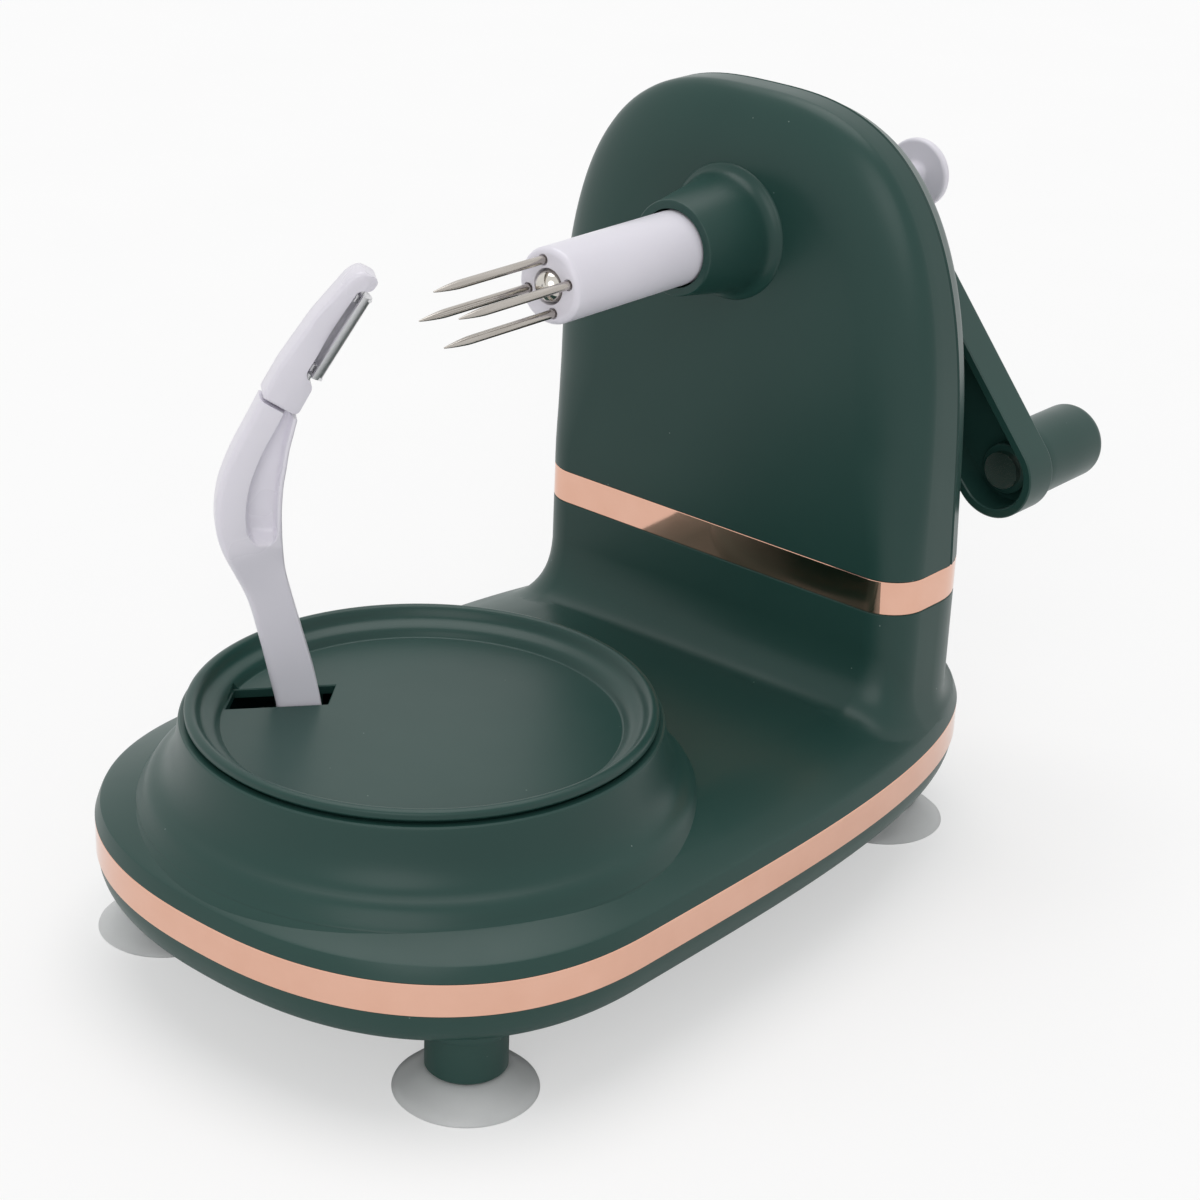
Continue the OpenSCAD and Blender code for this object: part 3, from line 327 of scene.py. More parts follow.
cup_profile = [(0, 2.6), (4, 2.55), (8, 2.1), (11, 1.25), (13.2, 0.3), (14.1, 0), (14.7, 0), (15, 0.3),
               (14.8, 0.8), (13.4, 2.1), (11.8, 3.3), (10.2, 4.4), (8.9, 5.2), (8.2, 5.4), (3.7, 5.5),
               (3.5, 6), (3.5, 11.6), (2.6, 12.6), (0, 12.6)]
cups = row(turned("suction_cup_1", cup_profile, at(*feet[0], 0), steps=72, angle=50), feet)
cup_nodes = ["cup_front_left", "cup_front_right", "cup_rear_left", "cup_rear_right"]
for cup, node in zip(cups, cup_nodes):
    cup.data.materials.append(clear_pvc)
    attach(cup, "base")
    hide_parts(node)


# ---------------------------------------------------------------- Gear train
# Spur gears on two steel axles, the vertical shaft with its pinion and bevel gear, bushes and the
# bracket that guides it. Moulded and turned pieces inside the base and the tower, kept as built.

# Natural POM, moulded: an off-white with a waxy, slightly cloudy skin and fine flow marks.
white_pom, tree, shader, place = new_material("POM moulded natural")
wax = noise(tree, place, 4, 3)
feed(tree, shader, tones(tree, wax, "#dcdad4", "#e9e8e3"), span(tree, wax, 0.38, 0.5))
shader.inputs["IOR"].default_value = 1.48

# Bright drawn steel rod: a grey metal with fine scratches along the drawing direction, drawn
# 0.25 mm wide so that they show.
drawn_steel, tree, shader, place = new_material("Steel drawn bright")
pull = add(tree, "ShaderNodeMapping", {"Scale": (1, 0.03, 1)}, [(place, "Vector")])
scratch = noise(tree, pull.outputs["Vector"], 0.25, 3)
feed(tree, shader, tones(tree, scratch, "#aeaba6", "#c9c6c2"), span(tree, scratch, 0.16, 0.3),
     relief(tree, scratch, 0.15, 0.00002))
shader.inputs["Metallic"].default_value = 1

# Zinc-plated steel, passivated: a cool grey with a spangled, slightly uneven shine.
zinc_steel, tree, shader, place = new_material("Steel zinc plated")
spangle = add(tree, "ShaderNodeTexVoronoi", {"Scale": per_mm(0.8)}, [(place, "Vector")]).outputs["Color"]
feed(tree, shader, tones(tree, spangle, "#a9adb2", "#c3c7ca"), span(tree, spangle, 0.25, 0.4))
shader.inputs["Metallic"].default_value = 1

inner_pieces = {
    white_pom: ["upper_bracket", "front_bush", "rear_bush", "drive_bevel_gear", "shaft_bevel_gear",
                "vertical_pinion", "gear_a", "gear_b", "turntable_gear", "eject_collar"],
    drawn_steel: ["gear_axles", "vertical_shaft", "drive_shaft", "arm_pivot_pin", "crank_pin"],
    zinc_steel: ["bracket_screws", "gear_screws", "pivot_screw", "pivot_washer", "eject_spring", "arm_spring"]}
for material, nodes in inner_pieces.items():
    for node in nodes:
        mesh = bpy.data.objects[node].data
        mesh.materials.clear()
        mesh.materials.append(material)


# ---------------------------------------------------------------- Base shell
# The upper moulding in the same green ABS: a stepped oval shoulder, the round pedestal under the
# turntable and the flared foot of the tower, with a seat for each trim band. Screwed to the tray.

shoulder_foot = 32.5
# Inset from the outline and height above the shoulder's foot, going up
shoulder = [(0, 0.05), (0.35, 1.2), (0.8, 2.5), (1.15, 3.2), (1.45, 3.42), (2.2, 3.72), (3.5, 4.22),
            (5, 4.75), (7, 5.45), (9, 6.15), (12, 6.95), (15, 7.6), (19, 8.2), (23, 8.5)]
tower_half, near_round, far_round = 54, 9.5, 18   # the tower's half width and its upright edges' radii


def tower_plan(inset):
    """The tower's rounded outline from above, moved in by inset."""
    half, front, rear = tower_half - inset, 95.5 + inset, 130 - inset
    near, far = max(near_round - inset, 0.5), max(far_round - inset, 0.5)
    corners = ((half - far, rear - far, far, 0), (far - half, rear - far, far, 90),
               (near - half, front + near, near, 180), (half - near, front + near, near, 270))
    outline = []
    for x, y, r, start in corners:
        outline += bend(x, y, r, start, start + 90, 12)
    return outline


def inside_by(x, y):
    """How far a point lies inside the base's outline, in mm."""
    fullness, length = front_egg if y < widest_y else rear_egg
    low, high = 0, 60
    for _ in range(20):
        mid = (low + high) / 2
        across, along = abs(x) / (half_width - mid), abs(y - widest_y) / (length - mid)
        if across ** fullness + along ** fullness < 1:
            low = mid
        else:
            high = mid
    return low


def shoulder_top(x, y):
    """Height of the shoulder's surface over a point."""
    inset = inside_by(x, y)
    for (a, low), (b, high) in zip(shoulder, shoulder[1:]):
        if inset <= b:
            return shoulder_foot + low + (high - low) * max(inset - a, 0) / (b - a)
    return shoulder_foot + shoulder[-1][1]


def flare_ring(out, up):
    """One ring of the fillet between base and tower, out and up shrunk where the base is narrow."""
    full_room, ring = 10.5, []
    for (x, y), (far_x, far_y) in zip(tower_plan(0), tower_plan(-1)):
        room = inside_by(x, y)
        shrink = min(1, room / full_room)
        reach = min(out * shrink, 0.93 * room)
        p, q = x + (far_x - x) * reach, y + (far_y - y) * reach
        ring.append(at(p, q, shoulder_top(p, q) + up * shrink))
    return ring


shell_rings = [oval(3.6, 36), oval(3.6, 25), oval(1.15, 24.95), oval(1.05, 25.1)]
shell_rings += [oval(1.05, shoulder_foot), oval(0.15, shoulder_foot)]
shell_rings += [oval(inset, shoulder_foot + h) for inset, h in shoulder]
base_shell = drawn("base_moulding", shell_rings, 28)
joined(base_shell, [drawn("cavity", [oval(18, 30), oval(18, 38.6)])], "DIFFERENCE")
ring_profile = [(46, 38.4), (62.3, 35.2), (62.15, 35.85), (61.5, 36.85), (60.9, 37.7), (60.45, 38.2),
                (60.38, 38.45), (60.2, 38.68), (59.8, 39.15), (59.3, 39.95), (58.75, 40.95), (58.2, 41.85),
                (57.5, 42.6), (56.6, 43.2), (55.7, 43.75), (54.9, 44.45), (54.2, 45.35), (53.5, 46.6),
                (52.9, 48.1), (52.4, 49.9), (52.0, 51.9), (51.65, 53.8), (51.35, 55.8), (51.2, 56.3),
                (50.8, 56.6), (46, 56.6), (46, 38.4)]
pedestal = turned("pedestal", ring_profile, at(0, 0, 0), steps=160)
# How far out from the tower and up from the shoulder the foot's fillet runs
fillet = [(11.6, -0.4), (10.3, -0.03), (8.6, 0.25), (7.0, 0.65), (5.7, 1.25), (4.4, 2.2), (3.3, 3.3),
          (2.4, 4.5), (1.6, 6.0), (1.0, 7.6), (0.5, 9.6), (0.2, 11.6), (0, 14)]
foot_rings = [[at(x, y, 36.5) for x, y in tower_plan(0.6)]] + [flare_ring(out, up) for out, up in fillet]
spigot = ((0, 63.9), (0.2, 64.1), (1.05, 64.1), (1.05, 72.2), (3.2, 72.2), (3.2, 76.2))
foot_rings += [[at(x, y, z) for x, y in tower_plan(inset)] for inset, z in spigot]
joined(base_shell, [pedestal, drawn("foot", foot_rings)])
well_profile = [(0, 37.6), (42, 37.6), (42, 41), (49.2, 41), (49.2, 60), (0, 60)]
well = turned("well", well_profile, at(0, 0, 0), steps=160)
shaft_way = drawn("shaft_way", [[at(x, y, z) for x, y in tower_plan(4.6)] for z in (30, 80)])
joined(base_shell, [well, shaft_way], "DIFFERENCE", 24)
even(base_shell)
base_shell.data.materials.append(green_abs)
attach(base_shell, "base")
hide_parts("base_shell")


# ---------------------------------------------------------------- Tray screws
# Four zinc-plated self-tapping screws with a domed head and a cross recess. They come up through
# the tray into the base shell, and their heads lie sunk in its underside.

def screw(name, length, foot, along, across):
    """A domed screw whose head rests at foot and whose shank points along."""
    along, across = Vector(along), Vector(across)
    profile = [(0, -1.8), (1.1, -1.75), (1.9, -1.55), (2.5, -1.15), (2.85, -0.55), (2.9, 0), (1.5, 0),
               (1.5, length - 2), (0.5, length), (0, length)]
    piece = turned(name, profile, foot, along, across, steps=32)
    thin, wide = 0.35, 1.6
    cross = [(thin, thin), (thin, wide), (-thin, wide), (-thin, thin), (-wide, thin), (-wide, -thin),
             (-thin, -thin), (-thin, -wide), (thin, -wide), (thin, -thin), (wide, -thin), (wide, thin)]
    side = along.cross(across)
    rings = [[foot + (across * x * size + side * y * size + along * h) * 0.001 for x, y in cross]
             for size, h in ((1.05, -2.4), (0.55, -0.5))]
    return joined(piece, [drawn("cross", rings)], "DIFFERENCE")


first_screw = screw("tray_screw_1", 11, at(*tray_screws[0], 18.5), (0, 0, 1), (1, 0, 0))
screws = row(first_screw, tray_screws)
for piece in screws:
    piece.data.materials.append(zinc_steel)
    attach(piece, "base")
    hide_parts("base_screws")


# ---------------------------------------------------------------- Trim bands
# Two thin rings of ABS, plated in rose gold, sprung into the seats round the base and round the
# foot of the tower. Their edges are slightly rounded, and the flat faces mirror the surroundings.

# Vacuum-plated ABS: a warm pink-copper mirror under a clear lacquer, a little wavy because the
# thin strip is not dead flat, with faint cloudy marks from handling.
rose_gold, tree, shader, place = new_material("ABS vacuum plated rose gold")
marks = noise(tree, place, 9, 3)
feed(tree, shader, tones(tree, marks, "#dfae97", "#e9bba6"), span(tree, marks, 0.03, 0.07),
     relief(tree, noise(tree, place, 14, 1), 0.06, 0.0004))
shader.inputs["Metallic"].default_value = 1


def hoop(name, outline, low, high):
    """A thin ring between two heights, from the inside round the outside and back."""
    thick, edge = 1, 0.25
    steps = [(thick, low), (edge, low), (0, low + edge), (0, high - edge), (edge, high), (thick, high)]
    rings = [[at(x, y, z) for x, y in outline(inset)] for inset, z in steps]
    piece = plate(name, rings[0])
    draw_out(piece, rings)
    mesh = bmesh.from_edit_mesh(piece.data)
    bpy.ops.mesh.select_all(action="DESELECT")
    bpy.ops.mesh.select_mode(type="FACE")
    for face in mesh.faces:
        face.select_set(len(face.verts) > 4)
    bmesh.update_edit_mesh(piece.data)
    bpy.ops.mesh.bridge_edge_loops()
    return seal(piece)


base_band = hoop("base_trim_band", base_plan, 24.97, 32.48)
tower_band = hoop("tower_trim_band", tower_plan, 64.12, 72.28)
for band, node in ((base_band, "base_band"), (tower_band, "tower_band")):
    band.data.materials.append(rose_gold)
    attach(band, "base")
    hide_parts(node)


# ---------------------------------------------------------------- Tower front shell
# The front half of the tower in green ABS: a tall rounded cushion with a flared boss for the fork
# hub. It slips over a spigot on the base and meets the rear cover on a leaning seam.

tower_cut = 72.35                                        # both shells end here, on the tower band
arch_foot, arch_rise, arch_fullness = 91, 83.2, 2.85     # the curve that closes the tower's top
drive_z, rearward = 142.5, (0, 1, 0)                     # the drive shaft's height and direction
drive_foot = at(0, 0, drive_z)


def eased(value, low, high):
    """0 below low, 1 above high and a soft step between."""
    f = min(max((value - low) / (high - low), 0), 1)
    return f * f * (3 - 2 * f)


def leaned(y, z, lean=1):
    """The depth y brought forward with height, as much as the seam leans or a share of it."""
    return y - lean * 0.068 * (z - 72.3)


def arch(inset, y, lean, spread=0):
    """The tower's front outline at depth y, moved in by inset, and by a share more higher up."""
    def inward(z):
        return inset * (1 + spread * eased(z, 74, 104))

    ring = [(inward(z) - tower_half, z) for z in (70, 74, 78, 82, 86)]
    for i in range(97):
        angle = math.pi - math.pi * i / 96
        c, rise = math.cos(angle), abs(math.sin(angle)) ** (2 / arch_fullness)
        moved = inward(arch_foot + arch_rise * rise)
        x = (tower_half - moved) * math.copysign(abs(c) ** (2 / arch_fullness), c)
        ring.append((x, arch_foot + (arch_rise - moved) * rise))
    ring += [(-x, z) for x, z in ring[4::-1]]
    return [at(x, leaned(y, z, lean), z) for x, z in ring]


def trimmed(piece, z):
    """Cuts a piece off level at a height and closes the cut."""
    picked(piece)
    bpy.ops.object.mode_set(mode="EDIT")
    bpy.ops.mesh.select_all(action="SELECT")
    bpy.ops.mesh.bisect(plane_co=(0, 0, z * 0.001), plane_no=(0, 0, 1), use_fill=True, clear_inner=True)
    return seal(piece)


cushion = [(near_round * (1 - math.sin(a)), 105 - near_round * math.cos(a), 0.3 * (i / 12) ** 2)
           for i, a in enumerate([math.pi / 2 * i / 12 for i in range(13)])]
front_rings = [arch(inset, y, lean, 0.75) for inset, y, lean in cushion]
front_rings += [arch(0, 108.5, 0.5), arch(0, 112, 0.78), arch(0, 114.85, 1), arch(0.35, 115.2, 1)]
front_rings += [arch(2.2, 115.2, 1), arch(2.2, 105, 0.3), arch(5, 99.8, 0.1, 0.75), arch(9.5, 97.9, 0, 0.75)]
front_shell = trimmed(drawn("tower_front", front_rings), tower_cut)
opening = turned("opening", [(0, 60), (12, 60), (12, 104), (0, 104)], drive_foot, rearward)
joined(front_shell, [opening], "DIFFERENCE")
boss_profile = [(8.8, 76)] + bend(10.35, 76.35, 0.35, 270, 360, 4)
boss_profile += [(10.85, 77.4), (11.25, 80.2), (11.85, 84), (12.45, 88), (12.9, 90.9), (13.1, 92.2),
                 (13.4, 93.2), (13.85, 94), (14.4, 94.55), (14.95, 94.85), (15.3, 95.05), (15.5, 95.4),
                 (15.55, 96), (15.5, 97.6), (8.8, 97.6), (8.8, 76)]
joined(front_shell, [turned("boss", boss_profile, drive_foot, rearward)], angle=32)
even(front_shell)
front_shell.data.materials.append(green_abs)
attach(front_shell, "base")
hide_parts("tower_front_shell")


# ---------------------------------------------------------------- Tower rear cover
# The rear half, green ABS, more rounded than the front. Four screws in deep recesses pull it to
# the front shell, and a round boss in its middle holds the bush of the crank's shaft.

round_off = [(far_round * (1 - math.cos(a)), 112 + far_round * math.sin(a))
             for a in [math.pi / 2 * i / 14 for i in range(1, 15)]]
rear_rings = [arch(inset, y, 1) for inset, y in round_off[::-1] if y > 116.5]
rear_rings += [arch(0, 115.7, 1), arch(0.35, 115.35, 1), arch(2.2, 115.35, 1), arch(2.6, 117.5, 1)]
rear_rings += [arch(8, 125, 1), arch(18, 127.8, 1)]
rear_cover = trimmed(drawn("tower_rear", rear_rings), tower_cut)
opening = turned("opening", [(0, 118), (8.8, 118), (8.8, 140), (0, 140)], drive_foot, rearward)
joined(rear_cover, [opening], "DIFFERENCE")
bearing_profile = [(7, 121.7), (10.5, 121.7), (10.5, 134)] + bend(9.9, 134, 0.6, 0, 90, 4)
bearing = turned("bearing", bearing_profile + [(7, 134.6), (7, 121.7)], drive_foot, rearward)
tower_screws = [(x, leaned(124, z), z) for x, z in ((-32, 84), (32, 84), (-24, 150), (24, 150))]
pillar_profile = [(0, -8), (4.4, -8), (4.4, 5), (0, 5)]
pillars = [turned("pillar", pillar_profile, at(*place), rearward, steps=48) for place in tower_screws]
joined(rear_cover, [bearing] + pillars)
recess_profile = [(0, -14), (1.6, -14), (1.6, 0), (3.1, 0), (3.1, 30), (0, 30)]
recesses = [turned("recess", recess_profile, at(*place), rearward, steps=48) for place in tower_screws]
joined(rear_cover, recesses, "DIFFERENCE", 32)
rear_cover.data.materials.append(green_abs)
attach(rear_cover, "base")
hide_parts("tower_rear_cover")


# ---------------------------------------------------------------- Tower screws
# The same kind of screw, longer, four of them sunk in the rear cover's recesses. They reach through
# its pillars and pull the two tower shells together.

first_screw = screw("tower_screw_1", 15, at(*tower_screws[0]), (0, -1, 0), (1, 0, 0))
screws = row(first_screw, tower_screws)
for piece in screws:
    piece.data.materials.append(zinc_steel)
    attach(piece, "base")
    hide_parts("tower_screws")


# ---------------------------------------------------------------- Fork hub
# A white ABS sleeve on the drive shaft, with a chamfered nose and a recess for the ejector's dome.
# Four steel wires are pressed into its face.

# ABS moulded white in a polished mould: a cool, very slightly lilac white with a soft gloss, a
# faint milkiness under the skin and fine moulding texture.
white_abs, tree, shader, place = new_material("ABS moulded gloss white")
flow = noise(tree, place, 16, 2)
feed(tree, shader, tones(tree, flow, "#e2dfe8", "#e8e5ee"), span(tree, flow, 0.24, 0.34),
     relief(tree, noise(tree, place, 0.6, 2), 0.06, 0.00002))
shader.inputs["IOR"].default_value = 1.53
shader.inputs["Subsurface Weight"].default_value = 0.08
shader.inputs["Subsurface Radius"].default_value = (0.0012, 0.0011, 0.0012)
shader.inputs["Subsurface Scale"].default_value = 1.0

hub_profile = [(2.06, 38), (3.9, 38)] + bend(4.15, 35.85, 0.25, 180, 270, 3) + [(6.9, 35.6)]
hub_profile += bend(6.9, 37.0, 1.4, 270, 360, 8) + [(8.3, 86), (4, 86), (4, 44), (2.06, 44), (2.06, 38)]
hub = turned("fork_sleeve", hub_profile, drive_foot, rearward)
tine_angles = [math.radians(16 + 90 * i) for i in range(4)]
tine_places = [(5.7 * math.cos(a), 0, drive_z + 5.7 * math.sin(a)) for a in tine_angles]
socket_profile = [(0, 33), (1.25, 33), (1.25, 36.0), (0.96, 36.3), (0.96, 41), (0, 41)]
sockets = [turned("socket", socket_profile, at(*place), rearward, steps=32) for place in tine_places]
joined(hub, sockets, "DIFFERENCE")
hub.data.materials.append(white_abs)
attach(hub, "crank")
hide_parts("fork_hub")


# ---------------------------------------------------------------- Fork tines
# Four stainless wires of 1.9 mm, cut to length, ground to a slim point and pressed into the hub's
# sockets. They hold the fruit and turn with it.

# Stainless wire, drawn and ground: a warm grey metal with clear streaks along the wire, drawn
# 0.5 mm wide, that break up its reflections.
wire_steel, tree, shader, place = new_material("Stainless steel drawn wire")
pull = add(tree, "ShaderNodeMapping", {"Scale": (1, 0.05, 1)}, [(place, "Vector")])
streak = noise(tree, pull.outputs["Vector"], 0.5, 3)
feed(tree, shader, tones(tree, streak, "#a39d96", "#c4bfb9"), span(tree, streak, 0.14, 0.28))
shader.inputs["Metallic"].default_value = 1

tine_profile = [(0, 3), (0.16, 3.15), (0.42, 4.9), (0.66, 6.9), (0.84, 8.8), (0.93, 10.2), (0.95, 11.4),
                (0.95, 40.6), (0, 40.6)]
tines = row(turned("fork_tine_1", tine_profile, at(*tine_places[0]), rearward, steps=32), tine_places)
for tine in tines:
    tine.data.materials.append(wire_steel)
    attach(tine, "crank")
    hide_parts("fork_tines")


# ---------------------------------------------------------------- Ejector
# A steel rod with a riveted dome between the tines runs through the whole shaft. The white button
# on its rear end pushes the fruit off the fork, and a spring brings it back.

# Polished steel: a bright mirror with only faint rub marks.
polished_steel, tree, shader, place = new_material("Steel polished")
rub = noise(tree, place, 1.2, 3)
feed(tree, shader, tones(tree, rub, "#c2beb6", "#d3cfc8"), span(tree, rub, 0.05, 0.12))
shader.inputs["Metallic"].default_value = 1

dome = [(3.6 * math.sin(a), 37 - 3.6 * math.cos(a)) for a in [math.pi / 2 * i / 14 for i in range(15)]]
rod_profile = dome + [(3.6, 37.4), (3.3, 37.6), (2, 37.6), (2, 170), (0, 170)]
rod = turned("ejector_rod", rod_profile, drive_foot, rearward, steps=64)
rod.data.materials.append(polished_steel)
cap = [(8.5 * math.cos(a), 169.6 + 2.6 * math.sin(a)) for a in [math.pi / 2 * i / 12 for i in range(13)]]
button_profile = [(0, 170), (2, 170), (2, 145.6), (2.5, 145.6), (2.7, 145.9), (2.7, 166.9)]
button_profile += bend(3.8, 166.9, 1.1, 180, 90, 5) + bend(7.7, 168.8, 0.8, 270, 360, 5) + cap
button = turned("ejector_button", button_profile, drive_foot, rearward)
button.data.materials.append(white_abs)
for piece, node, slot in ((rod, "eject_rod", "steel"), (button, "eject_button", "white_plastic")):
    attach(piece, "ejector")
    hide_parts(node)


# ---------------------------------------------------------------- Crank arm
# A green ABS lever moulded as a shallow shell, open towards the tower, with a boss that is pressed
# on the drive shaft and a second one for the grip's steel pin.

crank_length, crank_drop = 74, math.radians(48.6)   # between the bosses, and how far it hangs below level


def lever(inset, y):
    """The crank arm's outline, two circles and their tangents, moved in by inset."""
    hub_r, end_r = 13 - inset, 10.5 - inset
    meet = math.acos((hub_r - end_r) / crank_length)
    turns = [meet + (2 * math.pi - 2 * meet) * i / 48 for i in range(49)]
    local = [(hub_r * math.cos(a), hub_r * math.sin(a)) for a in turns]
    turns = [-meet + 2 * meet * i / 40 for i in range(41)]
    local += [(crank_length + end_r * math.cos(a), end_r * math.sin(a)) for a in turns]
    c, s = math.cos(crank_drop), math.sin(crank_drop)
    return [at(x * c + t * s, y, drive_z - x * s + t * c) for x, t in local]


lever_rings = [lever(2.4, 144.8), lever(2.2, 137.3), lever(1.9, 137), lever(0.3, 137), lever(0, 137.3)]
lever_rings += [lever(0, 145.9)] + [lever(0.7 - r, h) for r, h in bend(0, 146, 0.7, 0, 90, 5)]
crank_arm = drawn("crank_lever", lever_rings)
pin_foot = at(crank_length * math.cos(crank_drop), 0, drive_z - crank_length * math.sin(crank_drop))
hub_boss = turned("boss", [(0, 135.2), (7, 135.2), (7.4, 135.6), (7.4, 146), (0, 146)], drive_foot, rearward)
pin_boss = turned("pin_boss", [(0, 142.4), (5.8, 142.4), (6, 142.6), (6, 146), (0, 146)], pin_foot, rearward)
joined(crank_arm, [hub_boss, pin_boss])
bore_profile = [(0, 134), (4, 134), (4, 145.4), (2.76, 145.4), (2.76, 150), (0, 150)]
bore = turned("bore", bore_profile, drive_foot, rearward)
pin_bore = turned("pin_bore", [(0, 140), (3, 140), (3, 150), (0, 150)], pin_foot, rearward)
joined(crank_arm, [bore, pin_bore], "DIFFERENCE")
crank_arm.data.materials.append(green_abs)
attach(crank_arm, "crank")
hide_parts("crank_arm")


# ---------------------------------------------------------------- Crank grip
# A short green ABS knob that snaps over the steel pin and turns freely on it. Its free end is
# rounded, and a narrow gap shows between it and the arm.

grip_profile = [(0, 165.9), (3.06, 165.9), (3.06, 164.4), (3.42, 163.9), (3.42, 162.2), (3.06, 161.5)]
grip_profile += [(3.06, 147.9)] + bend(8.6, 148.3, 0.4, 270, 360, 4) + [(8.97, 151), (8.92, 160)]
grip_profile += bend(5.9, 169.4, 3.0, 0, 90, 10) + [(0, 172.4)]
grip = turned("crank_knob", grip_profile, pin_foot, rearward)
grip.data.materials.append(green_abs)
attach(grip, "grip")
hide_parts("crank_grip")


# ---------------------------------------------------------------- Turntable
# A shallow dish in green ABS with a rolled rim, screwed to the turntable gear from below. The
# peeler arm comes up through its slot and swings on a pin between two lugs underneath.

out_x, out_y = -0.61978, -0.78478        # the way the arm swings out
swing_axis = (out_y, -out_x, 0)
pivot_s, pivot_z = 24, 45                # its pin, outward and up


def swing(s, z, t):
    """A place in the arm's swing plane: s outward, z up, t along its pin."""
    return at(out_x * s + out_y * t, out_y * s - out_x * t, z)


dish = [(0, 52), (46.4, 52), (47.4, 52.5), (48, 53.6), (48.3, 57.2), (49.3, 57.25)]
dish += bend(49.4, 57.9, 0.6, 290, 360, 4) + [(50, 58.5)] + bend(49.2, 58.5, 0.8, 0, 60, 4)
dish += [(49.2, 59.42), (48.75, 59.5), (48.3, 59.42), (47.9, 59.2), (47.45, 58.7), (47.1, 58.05),
         (46.75, 57.4), (46.3, 56.9), (45.6, 56.55), (44.9, 56.35), (44.2, 56.05), (43.6, 55.6),
         (43.1, 54.95), (42.75, 54.35), (42.5, 54.1), (42.2, 54), (0, 54)]
turntable = turned("turntable_dish", dish, at(0, 0, 0), steps=192)
slot_steps = [(50.9, 0), (53.75, 0), (54, 0.25), (56, 0.25)]
slot_rings = [[swing(16.5 - e, z, 20 + e), swing(19.1 - e, z, 10.8 - e), swing(40.9 + e, z, 10.8 - e),
               swing(38.3 + e, z, 20 + e)] for z, e in slot_steps]
joined(turntable, [drawn("slot", slot_rings)], "DIFFERENCE")
lugs = []
lower_half = [math.pi * (1 + i / 16) for i in range(17)]
for low in (8.2, 22.4):
    lug = [swing(pivot_s + 4.4 * math.cos(a), pivot_z + 4.4 * math.sin(a), low) for a in lower_half]
    lug += [swing(29, 47, low), swing(29, 52.4, low), swing(19, 52.4, low), swing(19, 47, low)]
    shift = swing(0, 0, 3) - swing(0, 0, 0)
    lugs.append(drawn("lug", [lug, [p + shift for p in lug]]))
pillar_profile = [(0, 48.5), (4, 48.5), (4, 52.5), (0, 52.5)]
pillars = [turned("pillar", pillar_profile, at(17 * math.cos(a), 17 * math.sin(a), 0), steps=32)
           for a in [math.radians(20 + 120 * i) for i in range(3)]]
joined(turntable, lugs + pillars)
arm_pivot = swing(pivot_s, pivot_z, 0)
way_profile = [(0, 0), (1.5, 0), (1.5, 30), (0, 30)]
pin_way = turned("pin_way", way_profile, arm_pivot, swing_axis, (0, 0, 1), steps=32)
joined(turntable, [pin_way], "DIFFERENCE")
even(turntable)
turntable.data.materials.append(green_abs)
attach(turntable, "table")
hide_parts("turntable")


# ---------------------------------------------------------------- Peeler arm
# A white ABS lever, S-shaped, on a sprung pin under the turntable. Above its plain shank it widens
# to a belly with a scooped groove, and its upper end takes the blade holder's tongue.

def through(table, u):
    """A smooth curve through rows of values, read at u rows along."""
    i = min(max(int(u), 0), len(table) - 2)
    f = u - i
    a, b, c, d = (table[min(max(j, 0), len(table) - 1)] for j in (i - 1, i, i + 1, i + 2))
    return [q + 0.5 * f * (r - p + f * (2 * p - 5 * q + 4 * r - s + f * (3 * (q - r) + s - p)))
            for p, q, r, s in zip(a, b, c, d)]


arm_near, arm_far, arm_mid = 11.6, 19.2, 15.4    # its faces and its middle, along the pin
scoop_start = 8.3                                # in rows
# Rows from the pivot up: outer edge (s, z) and inner edge (s, z)
arm_rows = [(26.0, 40.5, 22.0, 40.5), (28.3, 42.2, 19.9, 42.2), (29.2, 47, 19.6, 47), (29.8, 53, 20.2, 53),
            (31.3, 60, 21.6, 60.5), (33.2, 68.5, 23.8, 69), (35.4, 77, 26.0, 77.5), (38.2, 83.5, 27.4, 83.5),
            (40.6, 89, 28.0, 88.5), (41.9, 94, 28.3, 94), (42.0, 99, 28.3, 99), (41.2, 104, 27.9, 104),
            (39.6, 108.7, 27.2, 108.2), (37.5, 113.3, 26.6, 111.9), (35.0, 118, 25.8, 115.1),
            (32.5, 122.9, 25.0, 118.3)]


